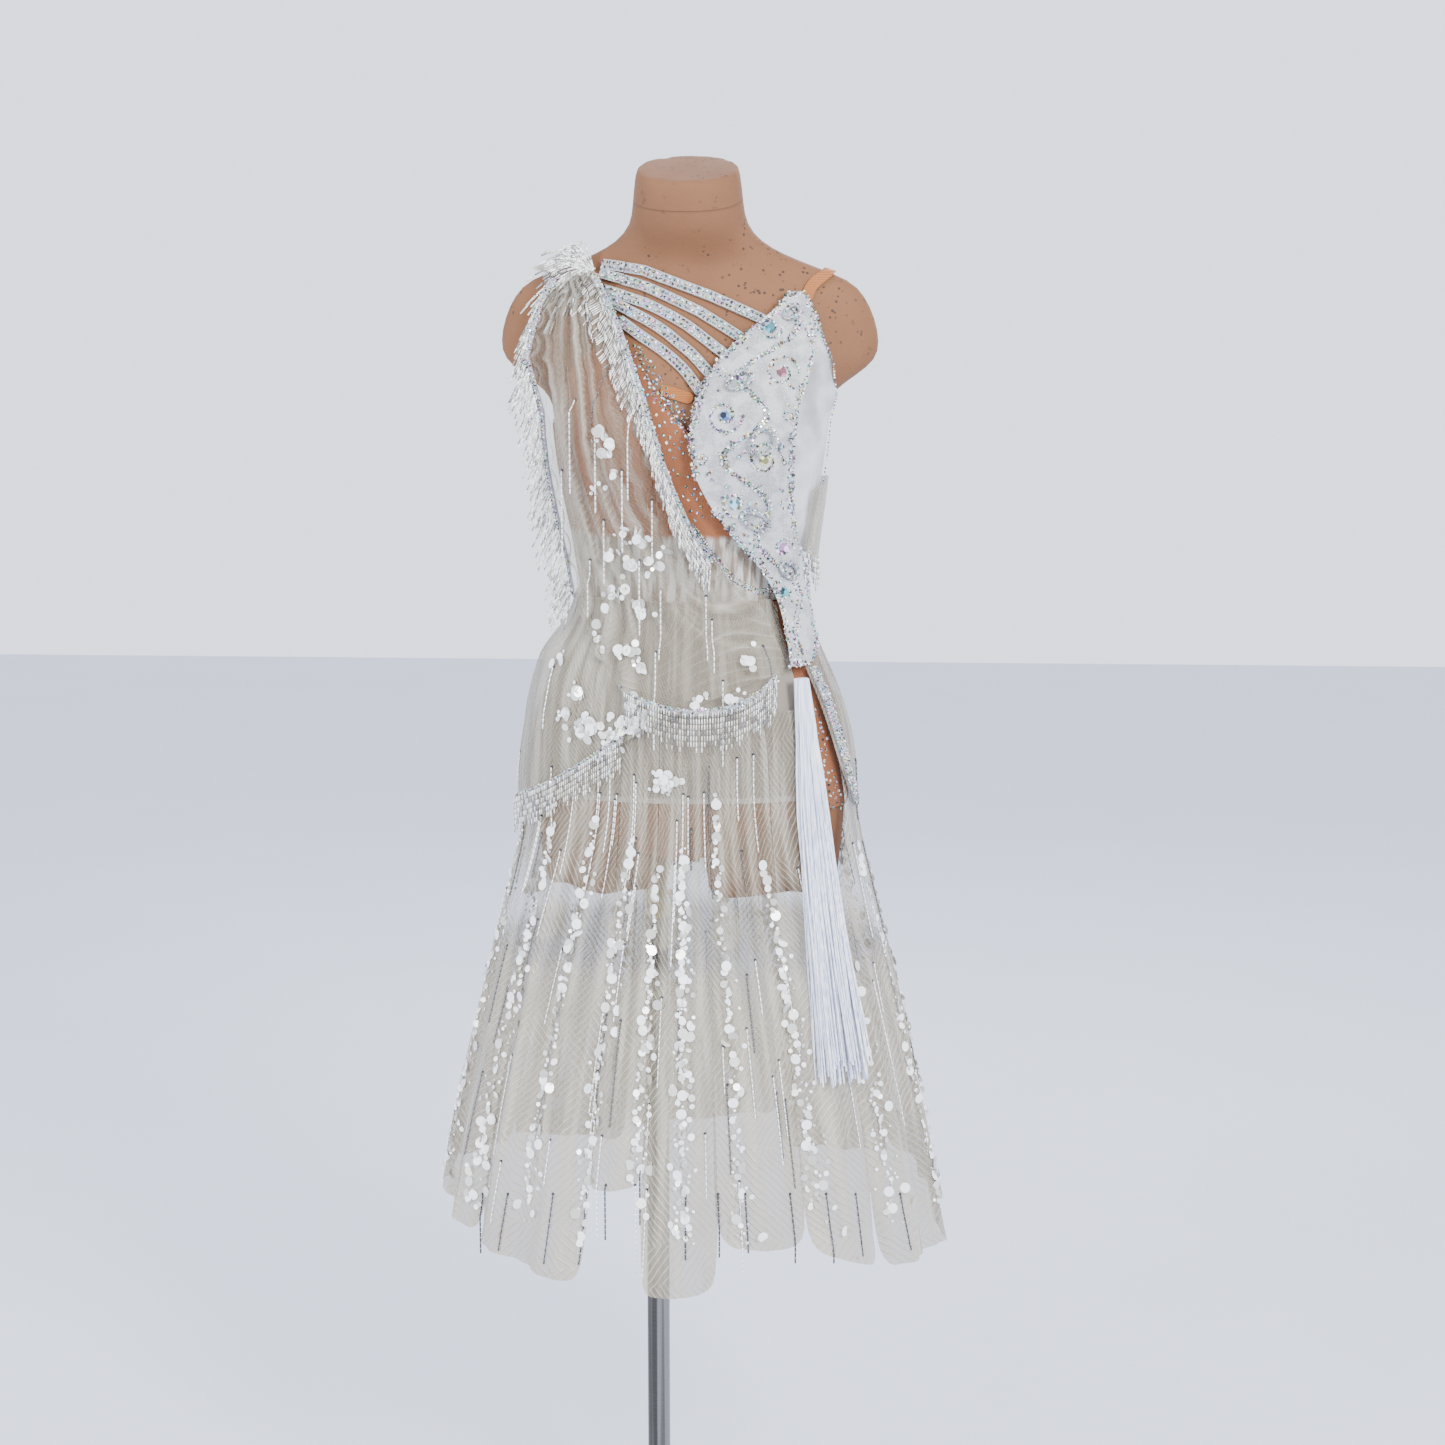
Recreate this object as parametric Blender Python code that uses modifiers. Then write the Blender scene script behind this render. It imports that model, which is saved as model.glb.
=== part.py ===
"""A Latin ballroom competition dress on a limbless dress form with a pole stand.

Sizes are in millimetres until a mesh is made. A place on the body is a turn and a height. The turn is
in degrees, seen from above: -90 is the front, 0 the wearer's left side, 90 the back and 180 the
wearer's right side. The height is measured from the floor. A lift is a distance out from the form.
"""

import math
from collections import namedtuple
from functools import lru_cache

import bmesh
import bpy
from mathutils import Vector

MM = 0.001
SEAM_GAP = 0.3

# Half the gap at a seam as a turn, about 0.15 mm at the hips.
SEAM_TURN = 0.06
# Half the gap at a seam as a share of a long panel's length.
TOP_SEAM_SHARE = 0.0005
# Half the gap between two gores, which leaves room for the thickness of their tilted walls.
GORE_EDGE_GAP = 0.7

# The pole stands under the wearer's right thigh, so the form's middle is beside the origin.
FORM_MIDDLE_X = 37.0

POLE_RADIUS = 12.5
SPIGOT_RADIUS = 11.0
SPIGOT_LENGTH = 40.0
HUB_RADIUS = 24.0
HUB_HEIGHT = 34.0
BASE_RADIUS = 160.0
BASE_HEIGHT = 12.0
STAND_BEVEL = 4.0
POLE_STEPS = 24
BASE_STEPS = 40

ORGANZA = 1.6
POWER_MESH = 1.2
BRAID = 2.2
ELASTIC = 1.4

# Lifts of the layers, from the form outwards.
SUIT_LIFT = 1.5
BODICE_LIFT = 2.6
# The height of a row that is drawn in under a panel's edge.
EDGE_ROW = 0.8
LINING_LIFT = 3.9
CUP_LIFT = 5.2
COWL_LIFT = 8.2
BACK_LIFT = 2.0
STRAP_LIFT = 1.6
# The gap between a trim and the cloth that it lies on, flat or in a tight curve.
ON_CLOTH = 0.7
ON_CURVED_CLOTH = 0.9

# The form's columns are ten degrees apart. Panels on it have theirs at the same turns, so that flat
# facets lie over flat facets.
PANEL_STEP = 10.0
FORM_COLUMNS = 36
FORM_ROW_STEP = 26.0
FORM_CLOSE_ROWS = (1000.0, 1320.0)
FORM_ROUNDNESS = 0.9
ARM_NARROWNESS = 7
BUST_SIDE = 78.0
BUST_HEIGHT = 1264.0
BUST_RISE = 30.0
BUST_WIDTH = 46.0
BUST_TALL = 52.0
# Stretched cloth stands a little off the tip of the bust, and spans the hollow between.
EASE_AT_TIP = 1.5
EASE_AT_HOLLOW = 5.0
HOLLOW_WIDTH = 36.0
NECK_TILT = 0.28
NECK_TILT_FROM = 1455.0
NECK_TILT_OVER = 45.0
NECK_RIM = 4.0
CROTCH_HEIGHT = 838.0
CROTCH_HALF_WIDTH = 19.0
CROTCH_ARCH_POINTS = 9
CUTTER_REACH = 200.0
CUTTER_OVERRUN = 30.0
GUSSET_BELOW_CROTCH = 14.0
GUSSET_INSET = 4.0
GUSSET_ROWS = 4
# How far the gusset's ends stay inside the briefs' inner face.
GUSSET_END_GAP = 1.05

FormSection = namedtuple("FormSection", "height half_width front back arm_reach lean")
FORM_SECTIONS = (
    FormSection(782, 158, 92, 106, 0, 6),
    FormSection(820, 163, 94, 116, 0, 6),
    FormSection(880, 168, 94, 120, 0, 4),
    FormSection(940, 163, 95, 114, 0, 2),
    FormSection(1000, 146, 93, 98, 0, 0),
    FormSection(1050, 125, 86, 86, 0, 0),
    FormSection(1090, 113, 82, 82, 0, 0),
    FormSection(1140, 118, 84, 86, 0, 0),
    FormSection(1190, 128, 88, 92, 0, 0),
    FormSection(1240, 136, 90, 98, 0, 0),
    FormSection(1280, 140, 90, 102, 0, 0),
    FormSection(1310, 142, 86, 104, 9, 0),
    FormSection(1327, 141, 82, 103, 36, 0),
    FormSection(1342, 139, 78, 102, 58, 0),
    FormSection(1360, 136, 72, 99, 65, 0),
    FormSection(1385, 128, 62, 92, 68, 0),
    FormSection(1408, 114, 52, 84, 71, 0),
    FormSection(1424, 100, 46, 76, 70, 2),
    FormSection(1438, 84, 44, 68, 46, 4),
    FormSection(1450, 74, 46, 62, 25, 2),
    FormSection(1463, 65, 48, 57, 10, -4),
    FormSection(1480, 60, 49, 53, 0, -11),
    FormSection(1500, 57, 50, 52, 0, -16),
    FormSection(1535, 54, 52, 52, 0, -20),
)

# How far the hip cloth stands off the form: all round, and the puff added on the right hip.
StandOff = namedtuple("StandOff", "height all_round hip_puff")
STAND_OFFS = (
    StandOff(864, 11.4, 6),
    StandOff(950, 11.2, 6),
    StandOff(980, 10.8, 9),
    StandOff(1005, 9.6, 14),
    StandOff(1028, 8.4, 18),
    StandOff(1042, 7.8, 11),
    StandOff(1060, 7.4, 3),
    StandOff(1100, 7.0, 0),
)

SkirtRing = namedtuple("SkirtRing", "height half_width front back fold_depth")
SKIRT_RINGS = (
    SkirtRing(350, 274, 226, 230, 19),
    SkirtRing(415, 264, 212, 218, 18),
    SkirtRing(531, 246, 188, 198, 15),
    SkirtRing(646, 222, 162, 178, 10),
    SkirtRing(760, 199, 132, 155, 5),
    SkirtRing(866, 175.5, 100, 131.5, 0),
    SkirtRing(940, 170.7, 100.8, 124, 0),
    SkirtRing(985, 159, 100.8, 110.5, 0),
)
SKIRT_TOP = 985.0
SKIRT_ROWS = 8
GORE_COLUMNS_A_FOLD = 4
SKIRT_ROW_CROWDING = 1.35

# One row for each gore, round from the wearer's right side. Each hem is cut on its own slant.
Gore = namedtuple("Gore", "start end folds hem_start hem_end")
GORES = (
    Gore(-180, -143, 2, 450, 428),
    Gore(-143, -110, 2, 426, 402),
    Gore(-110, -97, 1, 498, 506),
    Gore(-97, -83, 1, 394, 402),
    Gore(-83, -62, 1, 446, 442),
    Gore(-62, -41, 1, 438, 404),
    Gore(-41, 0, 2, 404, 391),
    Gore(0, 36, 2, 402, 436),
    Gore(36, 72, 2, 424, 398),
    Gore(72, 108, 2, 446, 420),
    Gore(108, 144, 2, 404, 440),
    Gore(144, 180, 2, 428, 452),
)
SLIT_GORE = 6

# The open slit at the left hip: where the side panels begin, by height.
SlitEdge = namedtuple("SlitEdge", "height turn")
SLIT_EDGES = (
    SlitEdge(700, -40.5),
    SlitEdge(760, -37),
    SlitEdge(820, -30),
    SlitEdge(869, -14),
    SlitEdge(903, -21),
    SlitEdge(942, -27),
    SlitEdge(985, -29),
    SlitEdge(1100, -34),
)

# A panel that hangs between a lower and an upper edge, by turn.
EdgeHeights = namedtuple("EdgeHeights", "turn low high")
YOKE_FRONT = (
    EdgeHeights(-180, 864, 1096),
    EdgeHeights(-154, 885, 1096),
    EdgeHeights(-137, 905, 1096),
    EdgeHeights(-119, 937, 1096),
    EdgeHeights(-104, 964, 1096),
    EdgeHeights(-80, 1000, 1096),
    EdgeHeights(-57, 1018, 1096),
    EdgeHeights(-40, 1024, 1096),
)
YOKE_ROWS = 8
# The trim ends at this column of the front yoke, where the tassel and the slit begin.
YOKE_TRIM_END = 7
YOKE_BACK_TOP = 1096.0
YOKE_BACK_HEM = 875.0
YOKE_BACK_ROWS = 7
YOKE_BACK_SLIT_COLUMNS = 4
SLIT_TRIM_FIRST_ROW = 2
LINING_FRONT = (
    EdgeHeights(-180, 888, 1094),
    EdgeHeights(-40, 888, 1094),
)
LINING_ROWS = 7
BODICE_FRONT = (
    EdgeHeights(-180, 1098, 1276),
    EdgeHeights(-162, 1098, 1278),
    EdgeHeights(-150, 1098, 1296),
    EdgeHeights(-136, 1098, 1350),
    EdgeHeights(-113, 1098, 1362),
    EdgeHeights(-102, 1098, 1320),
    EdgeHeights(-94, 1098, 1296),
    EdgeHeights(-86, 1098, 1264),
    EdgeHeights(-70, 1098, 1250),
    EdgeHeights(-32, 1098, 1250),
    EdgeHeights(0, 1098, 1260),
)
BRIEF_FRONT = (
    EdgeHeights(-180, 884, 1096),
    EdgeHeights(-160, 880, 1096),
    EdgeHeights(-140, 872, 1096),
    EdgeHeights(-124, 861, 1096),
    EdgeHeights(-113, 848, 1096),
    EdgeHeights(-102, 832, 1096),
    EdgeHeights(-94, 824, 1096),
    EdgeHeights(-86, 824, 1096),
    EdgeHeights(-70, 854, 1096),
    EdgeHeights(-32, 874, 1096),
    EdgeHeights(0, 872, 1096),
)
BRIEF_FRONT_ROWS = 7
BRIEF_BACK = (
    EdgeHeights(0, 872, 1096),
    EdgeHeights(40, 850, 1096),
    EdgeHeights(70, 826, 1096),
    EdgeHeights(90, 824, 1096),
    EdgeHeights(110, 826, 1096),
    EdgeHeights(140, 850, 1096),
    EdgeHeights(180, 884, 1096),
)
BRIEF_BACK_ROWS = 6
BACK_PANEL = (
    EdgeHeights(0, 1098, 1260),
    EdgeHeights(40, 1098, 1208),
    EdgeHeights(90, 1098, 1186),
    EdgeHeights(140, 1098, 1222),
    EdgeHeights(180, 1098, 1290),
)
BACK_PANEL_ROWS = 5
FLUTTER = (
    EdgeHeights(-26, 1150, 1216),
    EdgeHeights(-10, 1140, 1220),
    EdgeHeights(8, 1136, 1222),
    EdgeHeights(24, 1152, 1216),
)
FLUTTER_ROWS = 4
FLUTTER_STEP = 5.0
FLUTTER_LIFT = 10.6
FLUTTER_WAVE = 2.0
FLUTTER_WAVES_A_TURN = 18
# How far the flap stands out more for each millimetre down.
FLUTTER_FLARE = 0.06

# A panel that runs between two edges, one pair of edge places for each step along it.
EdgePair = namedtuple("EdgePair", "step left_turn left_height right_turn right_height")
COWL = (
    EdgePair(0, -180, 1428, -180, 1445),
    EdgePair(0.6, -158, 1422, -146, 1431),
    EdgePair(1.4, -157, 1400, -128, 1405),
    EdgePair(2.6, -156, 1362, -116, 1375),
    EdgePair(4.2, -161, 1310, -106, 1322),
    EdgePair(5.9, -163, 1250, -100, 1265),
    EdgePair(7.2, -164, 1200, -92, 1212),
    EdgePair(8.2, -165, 1160, -84, 1162),
    EdgePair(9.1, -162, 1118, -70, 1126),
    EdgePair(9.8, -152, 1086, -56, 1106),
    EdgePair(10.4, -140, 1062, -47, 1080),
    EdgePair(11, -128, 1044, -45, 1032),
)
COWL_SAG = 54.0
COWL_SAG_FROM = 0.56
COWL_COLUMNS = 21
COWL_ROWS = 15
COWL_FOLDS = 5
COWL_FOLD_DEPTH = 5.0
COWL_FLAT_EDGE = 9.0
COWL_ARM_EDGE_OUT = 6.0
COWL_ARM_EDGE_SHARE = 0.25
# Below the first of these heights the cowl comes to lie on the yoke, and from the second it does.
COWL_ON_YOKE = (1130.0, 1090.0)
COWL_INTO_YOKE = 4.0
CUP = (
    EdgePair(0, -40, 1404, -32, 1406),
    EdgePair(1, -53, 1381, -32, 1383),
    EdgePair(2, -70, 1358, -32, 1362),
    EdgePair(3, -80, 1332, -27, 1333),
    EdgePair(4, -85, 1312, -8, 1303),
    EdgePair(5, -87, 1276, -1, 1264),
    EdgePair(6, -85, 1237, -1, 1228),
    EdgePair(7, -79, 1201, -1, 1192),
    EdgePair(8, -68, 1168, -1, 1160),
    EdgePair(9, -54, 1138, -1, 1130),
    EdgePair(10, -42, 1112, -1, 1101),
)
CUP_COLUMNS = 9
CUP_ROWS = 12
CUP_FULLNESS = 4.0
CUP_FULL_FROM = (1120.0, 1190.0)
CUP_FULL_TO = (1330.0, 1380.0)
APPLIQUE_EASE = 4.0
APPLIQUE_ON_HIP = 11.5
# Below the first of these heights the applique leaves the cup for the hip, and from the second it is there.
APPLIQUE_OFF_CUP = (1165.0, 1120.0)
APPLIQUE = (
    EdgePair(0, -40, 1408, -33, 1409),
    EdgePair(1, -54, 1384, -33, 1384),
    EdgePair(2, -71, 1361, -35, 1361),
    EdgePair(3, -83, 1322, -40, 1318),
    EdgePair(4, -87, 1277, -46, 1277),
    EdgePair(5, -86, 1237, -44, 1232),
    EdgePair(6, -78, 1195, -39, 1190),
    EdgePair(7, -67, 1160, -30, 1155),
    EdgePair(8, -50, 1124, -20, 1120),
    EdgePair(9, -42, 1084, -16, 1080),
    EdgePair(10, -43, 1050, -20, 1046),
    EdgePair(11, -46, 1026, -33, 1024),
)
APPLIQUE_COLUMNS = 7
APPLIQUE_ROWS = 14
SHOULDER_BACK = (
    EdgePair(0, 180, 1428, 180, 1445),
    EdgePair(1, 160, 1424, 148, 1433),
    EdgePair(2, 157, 1396, 134, 1404),
    EdgePair(3, 156, 1350, 124, 1356),
    EdgePair(4, 156, 1300, 116, 1300),
    EdgePair(5, 158, 1256, 108, 1246),
    EdgePair(6, 160, 1236, 102, 1206),
)

SHOULDER_COLUMNS = 5
SHOULDER_ROWS = 9

# Straps, drawn on the form by their middle line.
Knot = namedtuple("Knot", "step turn height")
STRAP_WIDTH = 11.0
Strap = namedtuple("Strap", "lift path")
CRYSTAL_STRAPS = (
    Strap(1.7, ((-132, 1436), (-116, 1433), (-91, 1418), (-71, 1400), (-57, 1386))),
    Strap(0.9, ((-127, 1424), (-110, 1417), (-92, 1402), (-79, 1384), (-69, 1369))),
    Strap(0.8, ((-121, 1408), (-108, 1401), (-94, 1387), (-85, 1370), (-78, 1356))),
    Strap(0.6, ((-116, 1394), (-106, 1385), (-96, 1371), (-88, 1352), (-83, 1337))),
    Strap(0.8, ((-111, 1374), (-106, 1367), (-98, 1355), (-91, 1339), (-88, 1327))),
)
CRYSTAL_STRAP_POINTS = 9
TAN_STRAP_WIDTH = 12.0
TAN_STRAP = (
    (-34, 1400), (-27, 1418), (-17, 1428), (0, 1433), (17, 1428),
    (29, 1408), (36, 1370), (39, 1300), (38, 1214),
)
TAN_STRAP_POINTS = 17
BRA_BAND_WIDTH = 12.0
BRA_BAND = ((-98, 1316), (-92, 1311), (-87, 1306))
BRA_BAND_POINTS = 4

# Rings of the scroll applique, by the row and column of the applique's base, with the gap under each.
ScrollRing = namedtuple("ScrollRing", "row column radius gap")
SCROLL_RINGS = (
    ScrollRing(1.0, 3.0, 8, 0.5),
    ScrollRing(3.6, 2.0, 11, 1.5),
    ScrollRing(5.0, 4.1, 12, 1.3),
    ScrollRing(7.2, 2.6, 13, 0.6),
    ScrollRing(9.1, 3.0, 10, 0.6),
)
SCROLL_THICKNESS = 2.4
SCROLL_POINTS = 10

TRIM_WIDTH = 8.0
SLIT_TRIM_WIDTH = 13.0
FRINGE_ROOT = 3.0
FRINGE_THICKNESS = 1.8
STRAND_CLEARANCE = 2.5
STRAND_TAPER = 0.7
# Strands come in three lengths, each shorter than the last by this share.
STRAND_STEP = 0.12
STRAND_LENGTHS = 3
# How far the arm fringe's tips swing away from the cowl's steep edge.
ARM_SWING = 13.0

Fringe = namedtuple("Fringe", "strands drop gap")
NECK_FRINGE = Fringe(20, 27, 0.84)
ARM_FRINGE = Fringe(25, 28, 1.3)
HEM_FRINGE = Fringe(20, 30, 0.9)
YOKE_FRINGE = Fringe(18, 27, 0.6)
# The cowl's rows and columns where its trims begin and end, and the rows where its fringes begin.
NECK_TRIM_ROWS = (1, 11)
ARM_TRIM_ROWS = (1, 12)
HEM_TRIM_COLUMNS = (4, 18)
NECK_FRINGE_FROM = 2.3
ARM_FRINGE_FROM = 1.9
# A fringe ends this share of a row or column inside its trim.
FRINGE_END_INSET = 0.1
# Its roots are this share of a column in from the cloth's edge.
FRINGE_EDGE_INSET = 0.05

TASSEL_ACROSS = 9
TASSEL_DEEP = 4
TASSEL_TOP = 1016.0
TASSEL_END = 604.0
TASSEL_HEAD_HEIGHT = 22.0
TASSEL_HEAD_RADIUS = 12.5
TASSEL_HEAD_FLATNESS = 0.62
TASSEL_TURN = -42.0
TASSEL_SWING = -7.5
TASSEL_HALF_WIDTH = 8.5
TASSEL_SPREAD = 22.0
TASSEL_DEPTH = 5.0
TASSEL_SPREAD_POWER = 0.7
TASSEL_OUT_ON_HIP = 12.4
TASSEL_OUT = 3.9
# Below the first of these heights the tassel leaves the yoke for the skirt, and from the second it is there.
TASSEL_OFF_HIP = (1000.0, 890.0)
HIP_CLOTH_FOOT = 905.0
# How much the tassel's face turns with the hip.
TASSEL_FACING = 0.45
LOCK_HALF_WIDTH = 0.9
LOCK_SPREAD = 1.5
LOCK_REACH = 0.92
LOCK_SHARES = (0.0, 0.35, 1.0)
# Locks end at steps over this last share of the tassel's length.
LOCK_END_RANGE = 0.07
LOCK_END_STEPS = 6

Finish = namedtuple("Finish", "red green blue roughness metallic")
FINISHES = {
    "form_skin": Finish(0.42, 0.25, 0.16, 0.75, 0.0),
    "steel": Finish(0.42, 0.41, 0.40, 0.3, 1.0),
    "base_steel": Finish(0.35, 0.35, 0.35, 0.4, 1.0),
    "spigot": Finish(0.55, 0.42, 0.16, 0.6, 0.0),
    "nude_mesh": Finish(0.50, 0.20, 0.07, 0.8, 0.0),
    "nude_elastic": Finish(0.75, 0.36, 0.17, 0.6, 0.0),
    "organza": Finish(0.74, 0.72, 0.66, 0.5, 0.0),
    "lining": Finish(0.72, 0.69, 0.62, 0.7, 0.0),
    "satin": Finish(0.80, 0.81, 0.82, 0.4, 0.0),
    "crystal": Finish(0.75, 0.78, 0.80, 0.15, 0.3),
    "bugle": Finish(0.80, 0.79, 0.74, 0.2, 0.1),
    "fringe_silk": Finish(0.84, 0.86, 0.93, 0.6, 0.0),
}


def clear_scene():
    for old in list(bpy.data.objects):
        bpy.data.objects.remove(old)


@lru_cache(maxsize=None)
def slopes(table, column):
    """Slopes of a column at each row, level where it turns back, so that a curve never overshoots."""
    steps = [
        (getattr(b, column) - getattr(a, column)) / (b[0] - a[0]) for a, b in zip(table, table[1:])
    ]
    middle = [0.0 if a * b <= 0 else 2 * a * b / (a + b) for a, b in zip(steps, steps[1:])]
    return [steps[0], *middle, steps[-1]]


def read(table, column, key):
    """The column's value at the key, on a smooth curve through the rows. The first column is the key."""
    if key <= table[0][0]:
        return getattr(table[0], column)
    if key >= table[-1][0]:
        return getattr(table[-1], column)
    index = max(i for i, row in enumerate(table) if row[0] <= key)
    low, high = table[index], table[index + 1]
    span = high[0] - low[0]
    t = (key - low[0]) / span
    slope = slopes(table, column)
    return (
        (2 * t**3 - 3 * t**2 + 1) * getattr(low, column)
        + (t**3 - 2 * t**2 + t) * span * slope[index]
        + (3 * t**2 - 2 * t**3) * getattr(high, column)
        + (t**3 - t**2) * span * slope[index + 1]
    )


def ease(value, start, end):
    """0 at start and before it, 1 at end and after it, smooth between. End may be the lower of the two."""
    t = min(1.0, max(0.0, (value - start) / (end - start)))
    return t * t * (3 - 2 * t)


def spread(start, end, count):
    """Evenly spaced values from start to end."""
    return [start + (end - start) * i / (count - 1) for i in range(count)]


def power_of(value, exponent):
    return math.copysign(abs(value) ** exponent, value)


def oval(turn, half_width, front, back, middle=0.0):
    """A point of a rounded ring with its own depth in front and behind."""
    angle = math.radians(turn)
    depth = back if math.sin(angle) > 0 else front
    return (
        half_width * power_of(math.cos(angle), FORM_ROUNDNESS),
        middle + depth * power_of(math.sin(angle), FORM_ROUNDNESS),
    )


@lru_cache(maxsize=None)
def form_section(height):
    return [read(FORM_SECTIONS, column, height) for column in FormSection._fields[1:]]


def bust_share(x, height):
    """1 at the tip of either bust curve, falling to 0 around it."""
    across = (abs(x) - BUST_SIDE) / BUST_WIDTH
    up = (height - BUST_HEIGHT) / BUST_TALL
    return math.exp(-across * across - up * up)


def form_point(turn, height):
    """The form's surface: an oval with arm stubs, two bust curves and a neck cut on a tilt."""
    half_width, front, back, arm_reach, lean = form_section(height)
    x, y = oval(turn, half_width, front, back, lean)
    x += arm_reach * power_of(math.cos(math.radians(turn)), ARM_NARROWNESS)
    if turn % 360 > 180:
        y -= BUST_RISE * bust_share(x, height)
    tilt = NECK_TILT * ease(height, NECK_TILT_FROM, NECK_TILT_FROM + NECK_TILT_OVER)
    return Vector((x, y, height + tilt * (y - lean)))


def outward(turn, height):
    """The direction straight out of the form."""
    along = form_point(turn + 0.5, height) - form_point(turn - 0.5, height)
    up = form_point(turn, height + 1) - form_point(turn, height - 1)
    return along.cross(up).normalized()


def skin(turn, height, lift):
    return form_point(turn, height) + outward(turn, height) * lift


@lru_cache(maxsize=None)
def chest_ease(turn, height):
    """How far stretched cloth stands off the chest."""
    if turn % 360 < 180:
        return 0.0
    x = form_point(turn, height).x
    up = (height - BUST_HEIGHT) / BUST_TALL
    hollow = math.exp(-(x / HOLLOW_WIDTH) ** 2 - up * up)
    return EASE_AT_TIP * bust_share(x, height) + EASE_AT_HOLLOW * hollow


def hip_stand_off(turn, height):
    puff = max(0.0, -math.cos(math.radians(turn))) ** 2
    return read(STAND_OFFS, "all_round", height) + puff * read(STAND_OFFS, "hip_puff", height)


def hip_cloth(turn, height, lift):
    """The loose cloth of the yoke, clear of the skirt's top."""
    return skin(turn, height, hip_stand_off(turn, height) + lift)


def edge_place(table, along, across):
    """The turn and height at a share along and across a panel between two edges."""
    step = along * table[-1].step
    left, right = (
        (read(table, f"{side}_turn", step), read(table, f"{side}_height", step))
        for side in ("left", "right")
    )
    return tuple(a + (b - a) * across for a, b in zip(left, right))


def cowl_place(along, across):
    turn, height = edge_place(COWL, along, across)
    sag = COWL_SAG * ease(along, COWL_SAG_FROM, 1.0) * 4 * across * (1 - across)
    return turn, height - sag


def cowl_ease(turn, height):
    """How far the cowl's lowest folds stand off: more over the chest and where they lie on the yoke."""
    over_yoke = ease(height, *COWL_ON_YOKE) * (hip_stand_off(turn, height) - COWL_INTO_YOKE)
    return COWL_LIFT + chest_ease(turn, height) + over_yoke


def cowl_lift(along, across):
    turn, height = cowl_place(along, across)
    by_arm = 1 - ease(across, 0, COWL_ARM_EDGE_SHARE)
    arm_edge = COWL_ARM_EDGE_OUT * by_arm * math.sin(math.pi * along)
    from_edge = min(across, 1 - across) * cowl_width(along)
    flat = ease(from_edge, COWL_FLAT_EDGE, 3 * COWL_FLAT_EDGE)
    wave = 0.5 - 0.5 * math.cos(2 * math.pi * COWL_FOLDS * across)
    return cowl_ease(turn, height) + arm_edge + COWL_FOLD_DEPTH * flat * wave


@lru_cache(maxsize=None)
def cowl_width(along):
    left, right = (form_point(*cowl_place(along, side)) for side in (0.0, 1.0))
    return (right - left).length


def cowl(along, across):
    turn, height = cowl_place(along, across)
    return skin(turn, height, cowl_lift(along, across))


def cup_lift(turn, height):
    full = ease(height, *CUP_FULL_FROM) * (1 - ease(height, *CUP_FULL_TO))
    side = math.sin(math.radians(min(90, max(0, -turn))))
    return CUP_LIFT + chest_ease(turn, height) + CUP_FULLNESS * full * side


def cup(along, across):
    turn, height = edge_place(CUP, along, across)
    return skin(turn, height, cup_lift(turn, height))


def applique(along, across):
    """Over the cup above the waist, and over the cowl's end and the yoke below it."""
    turn, height = edge_place(APPLIQUE, along, across)
    on_cup = cup_lift(turn, height) + ORGANZA + APPLIQUE_EASE
    on_hip = hip_stand_off(turn, height) + APPLIQUE_ON_HIP
    share = ease(height, *APPLIQUE_OFF_CUP)
    return skin(turn, height, on_cup + (on_hip - on_cup) * share)


def shoulder_back(along, across):
    turn, height = edge_place(SHOULDER_BACK, along, across)
    return skin(turn, height, COWL_LIFT)


def skirt(turn, height, fold, lift=0.0):
    """The flared skirt. Fold is 0 in a valley and 1 on a ridge."""
    half_width, front, back, depth = (
        read(SKIRT_RINGS, column, height) for column in SkirtRing._fields[1:]
    )
    out = fold * depth + lift
    return Vector((*oval(turn, half_width + out, front + out, back + out), height))


def turn_of(length, height):
    """A length round the skirt, as a turn."""
    return math.degrees(length / read(SKIRT_RINGS, "front", height))


def material(name):
    made = bpy.data.materials.get(name)
    if made:
        return made
    finish = FINISHES[name]
    made = bpy.data.materials.new(name)
    made.use_nodes = True
    shader = made.node_tree.nodes["Principled BSDF"]
    shader.inputs["Base Color"].default_value = (finish.red, finish.green, finish.blue, 1.0)
    shader.inputs["Roughness"].default_value = finish.roughness
    shader.inputs["Metallic"].default_value = finish.metallic
    made.diffuse_color = (finish.red, finish.green, finish.blue, 1.0)
    return made


def collection(name):
    found = bpy.data.collections.get(name)
    if not found:
        found = bpy.data.collections.new(name)
        bpy.context.scene.collection.children.link(found)
    return found


def add_object(name, mesh, finish, group="ballroom_dress", smooth=40.0):
    """Links a mesh given in millimetres about the form's middle, as an object in metres."""
    for vertex in mesh.vertices:
        vertex.co = (vertex.co + Vector((FORM_MIDDLE_X, 0, 0))) * MM
    mesh.shade_smooth()
    mesh.set_sharp_from_angle(angle=math.radians(smooth))
    made = bpy.data.objects.new(name, mesh)
    made.data.materials.append(material(finish))
    collection(group).objects.link(made)
    return made


def mesh_from(shape, name):
    mesh = bpy.data.meshes.new(name)
    shape.to_mesh(mesh)
    shape.free()
    return mesh


def face_out(shape):
    """Turns all faces of a closed shape outwards."""
    bmesh.ops.recalc_face_normals(shape, faces=shape.faces)
    if shape.calc_volume(signed=True) < 0:
        bmesh.ops.reverse_faces(shape, faces=shape.faces)


def loft(shape, rows, closed=False):
    """Quads between rows of points, facing out when rows go down and points go by turn."""
    grid = [[shape.verts.new(point) for point in row] for row in rows]
    for upper, lower in zip(grid, grid[1:]):
        pairs = list(zip(range(len(upper)), range(1, len(upper))))
        if closed:
            pairs.append((len(upper) - 1, 0))
        for a, b in pairs:
            shape.faces.new((upper[a], lower[a], lower[b], upper[b]))
    return grid


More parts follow.
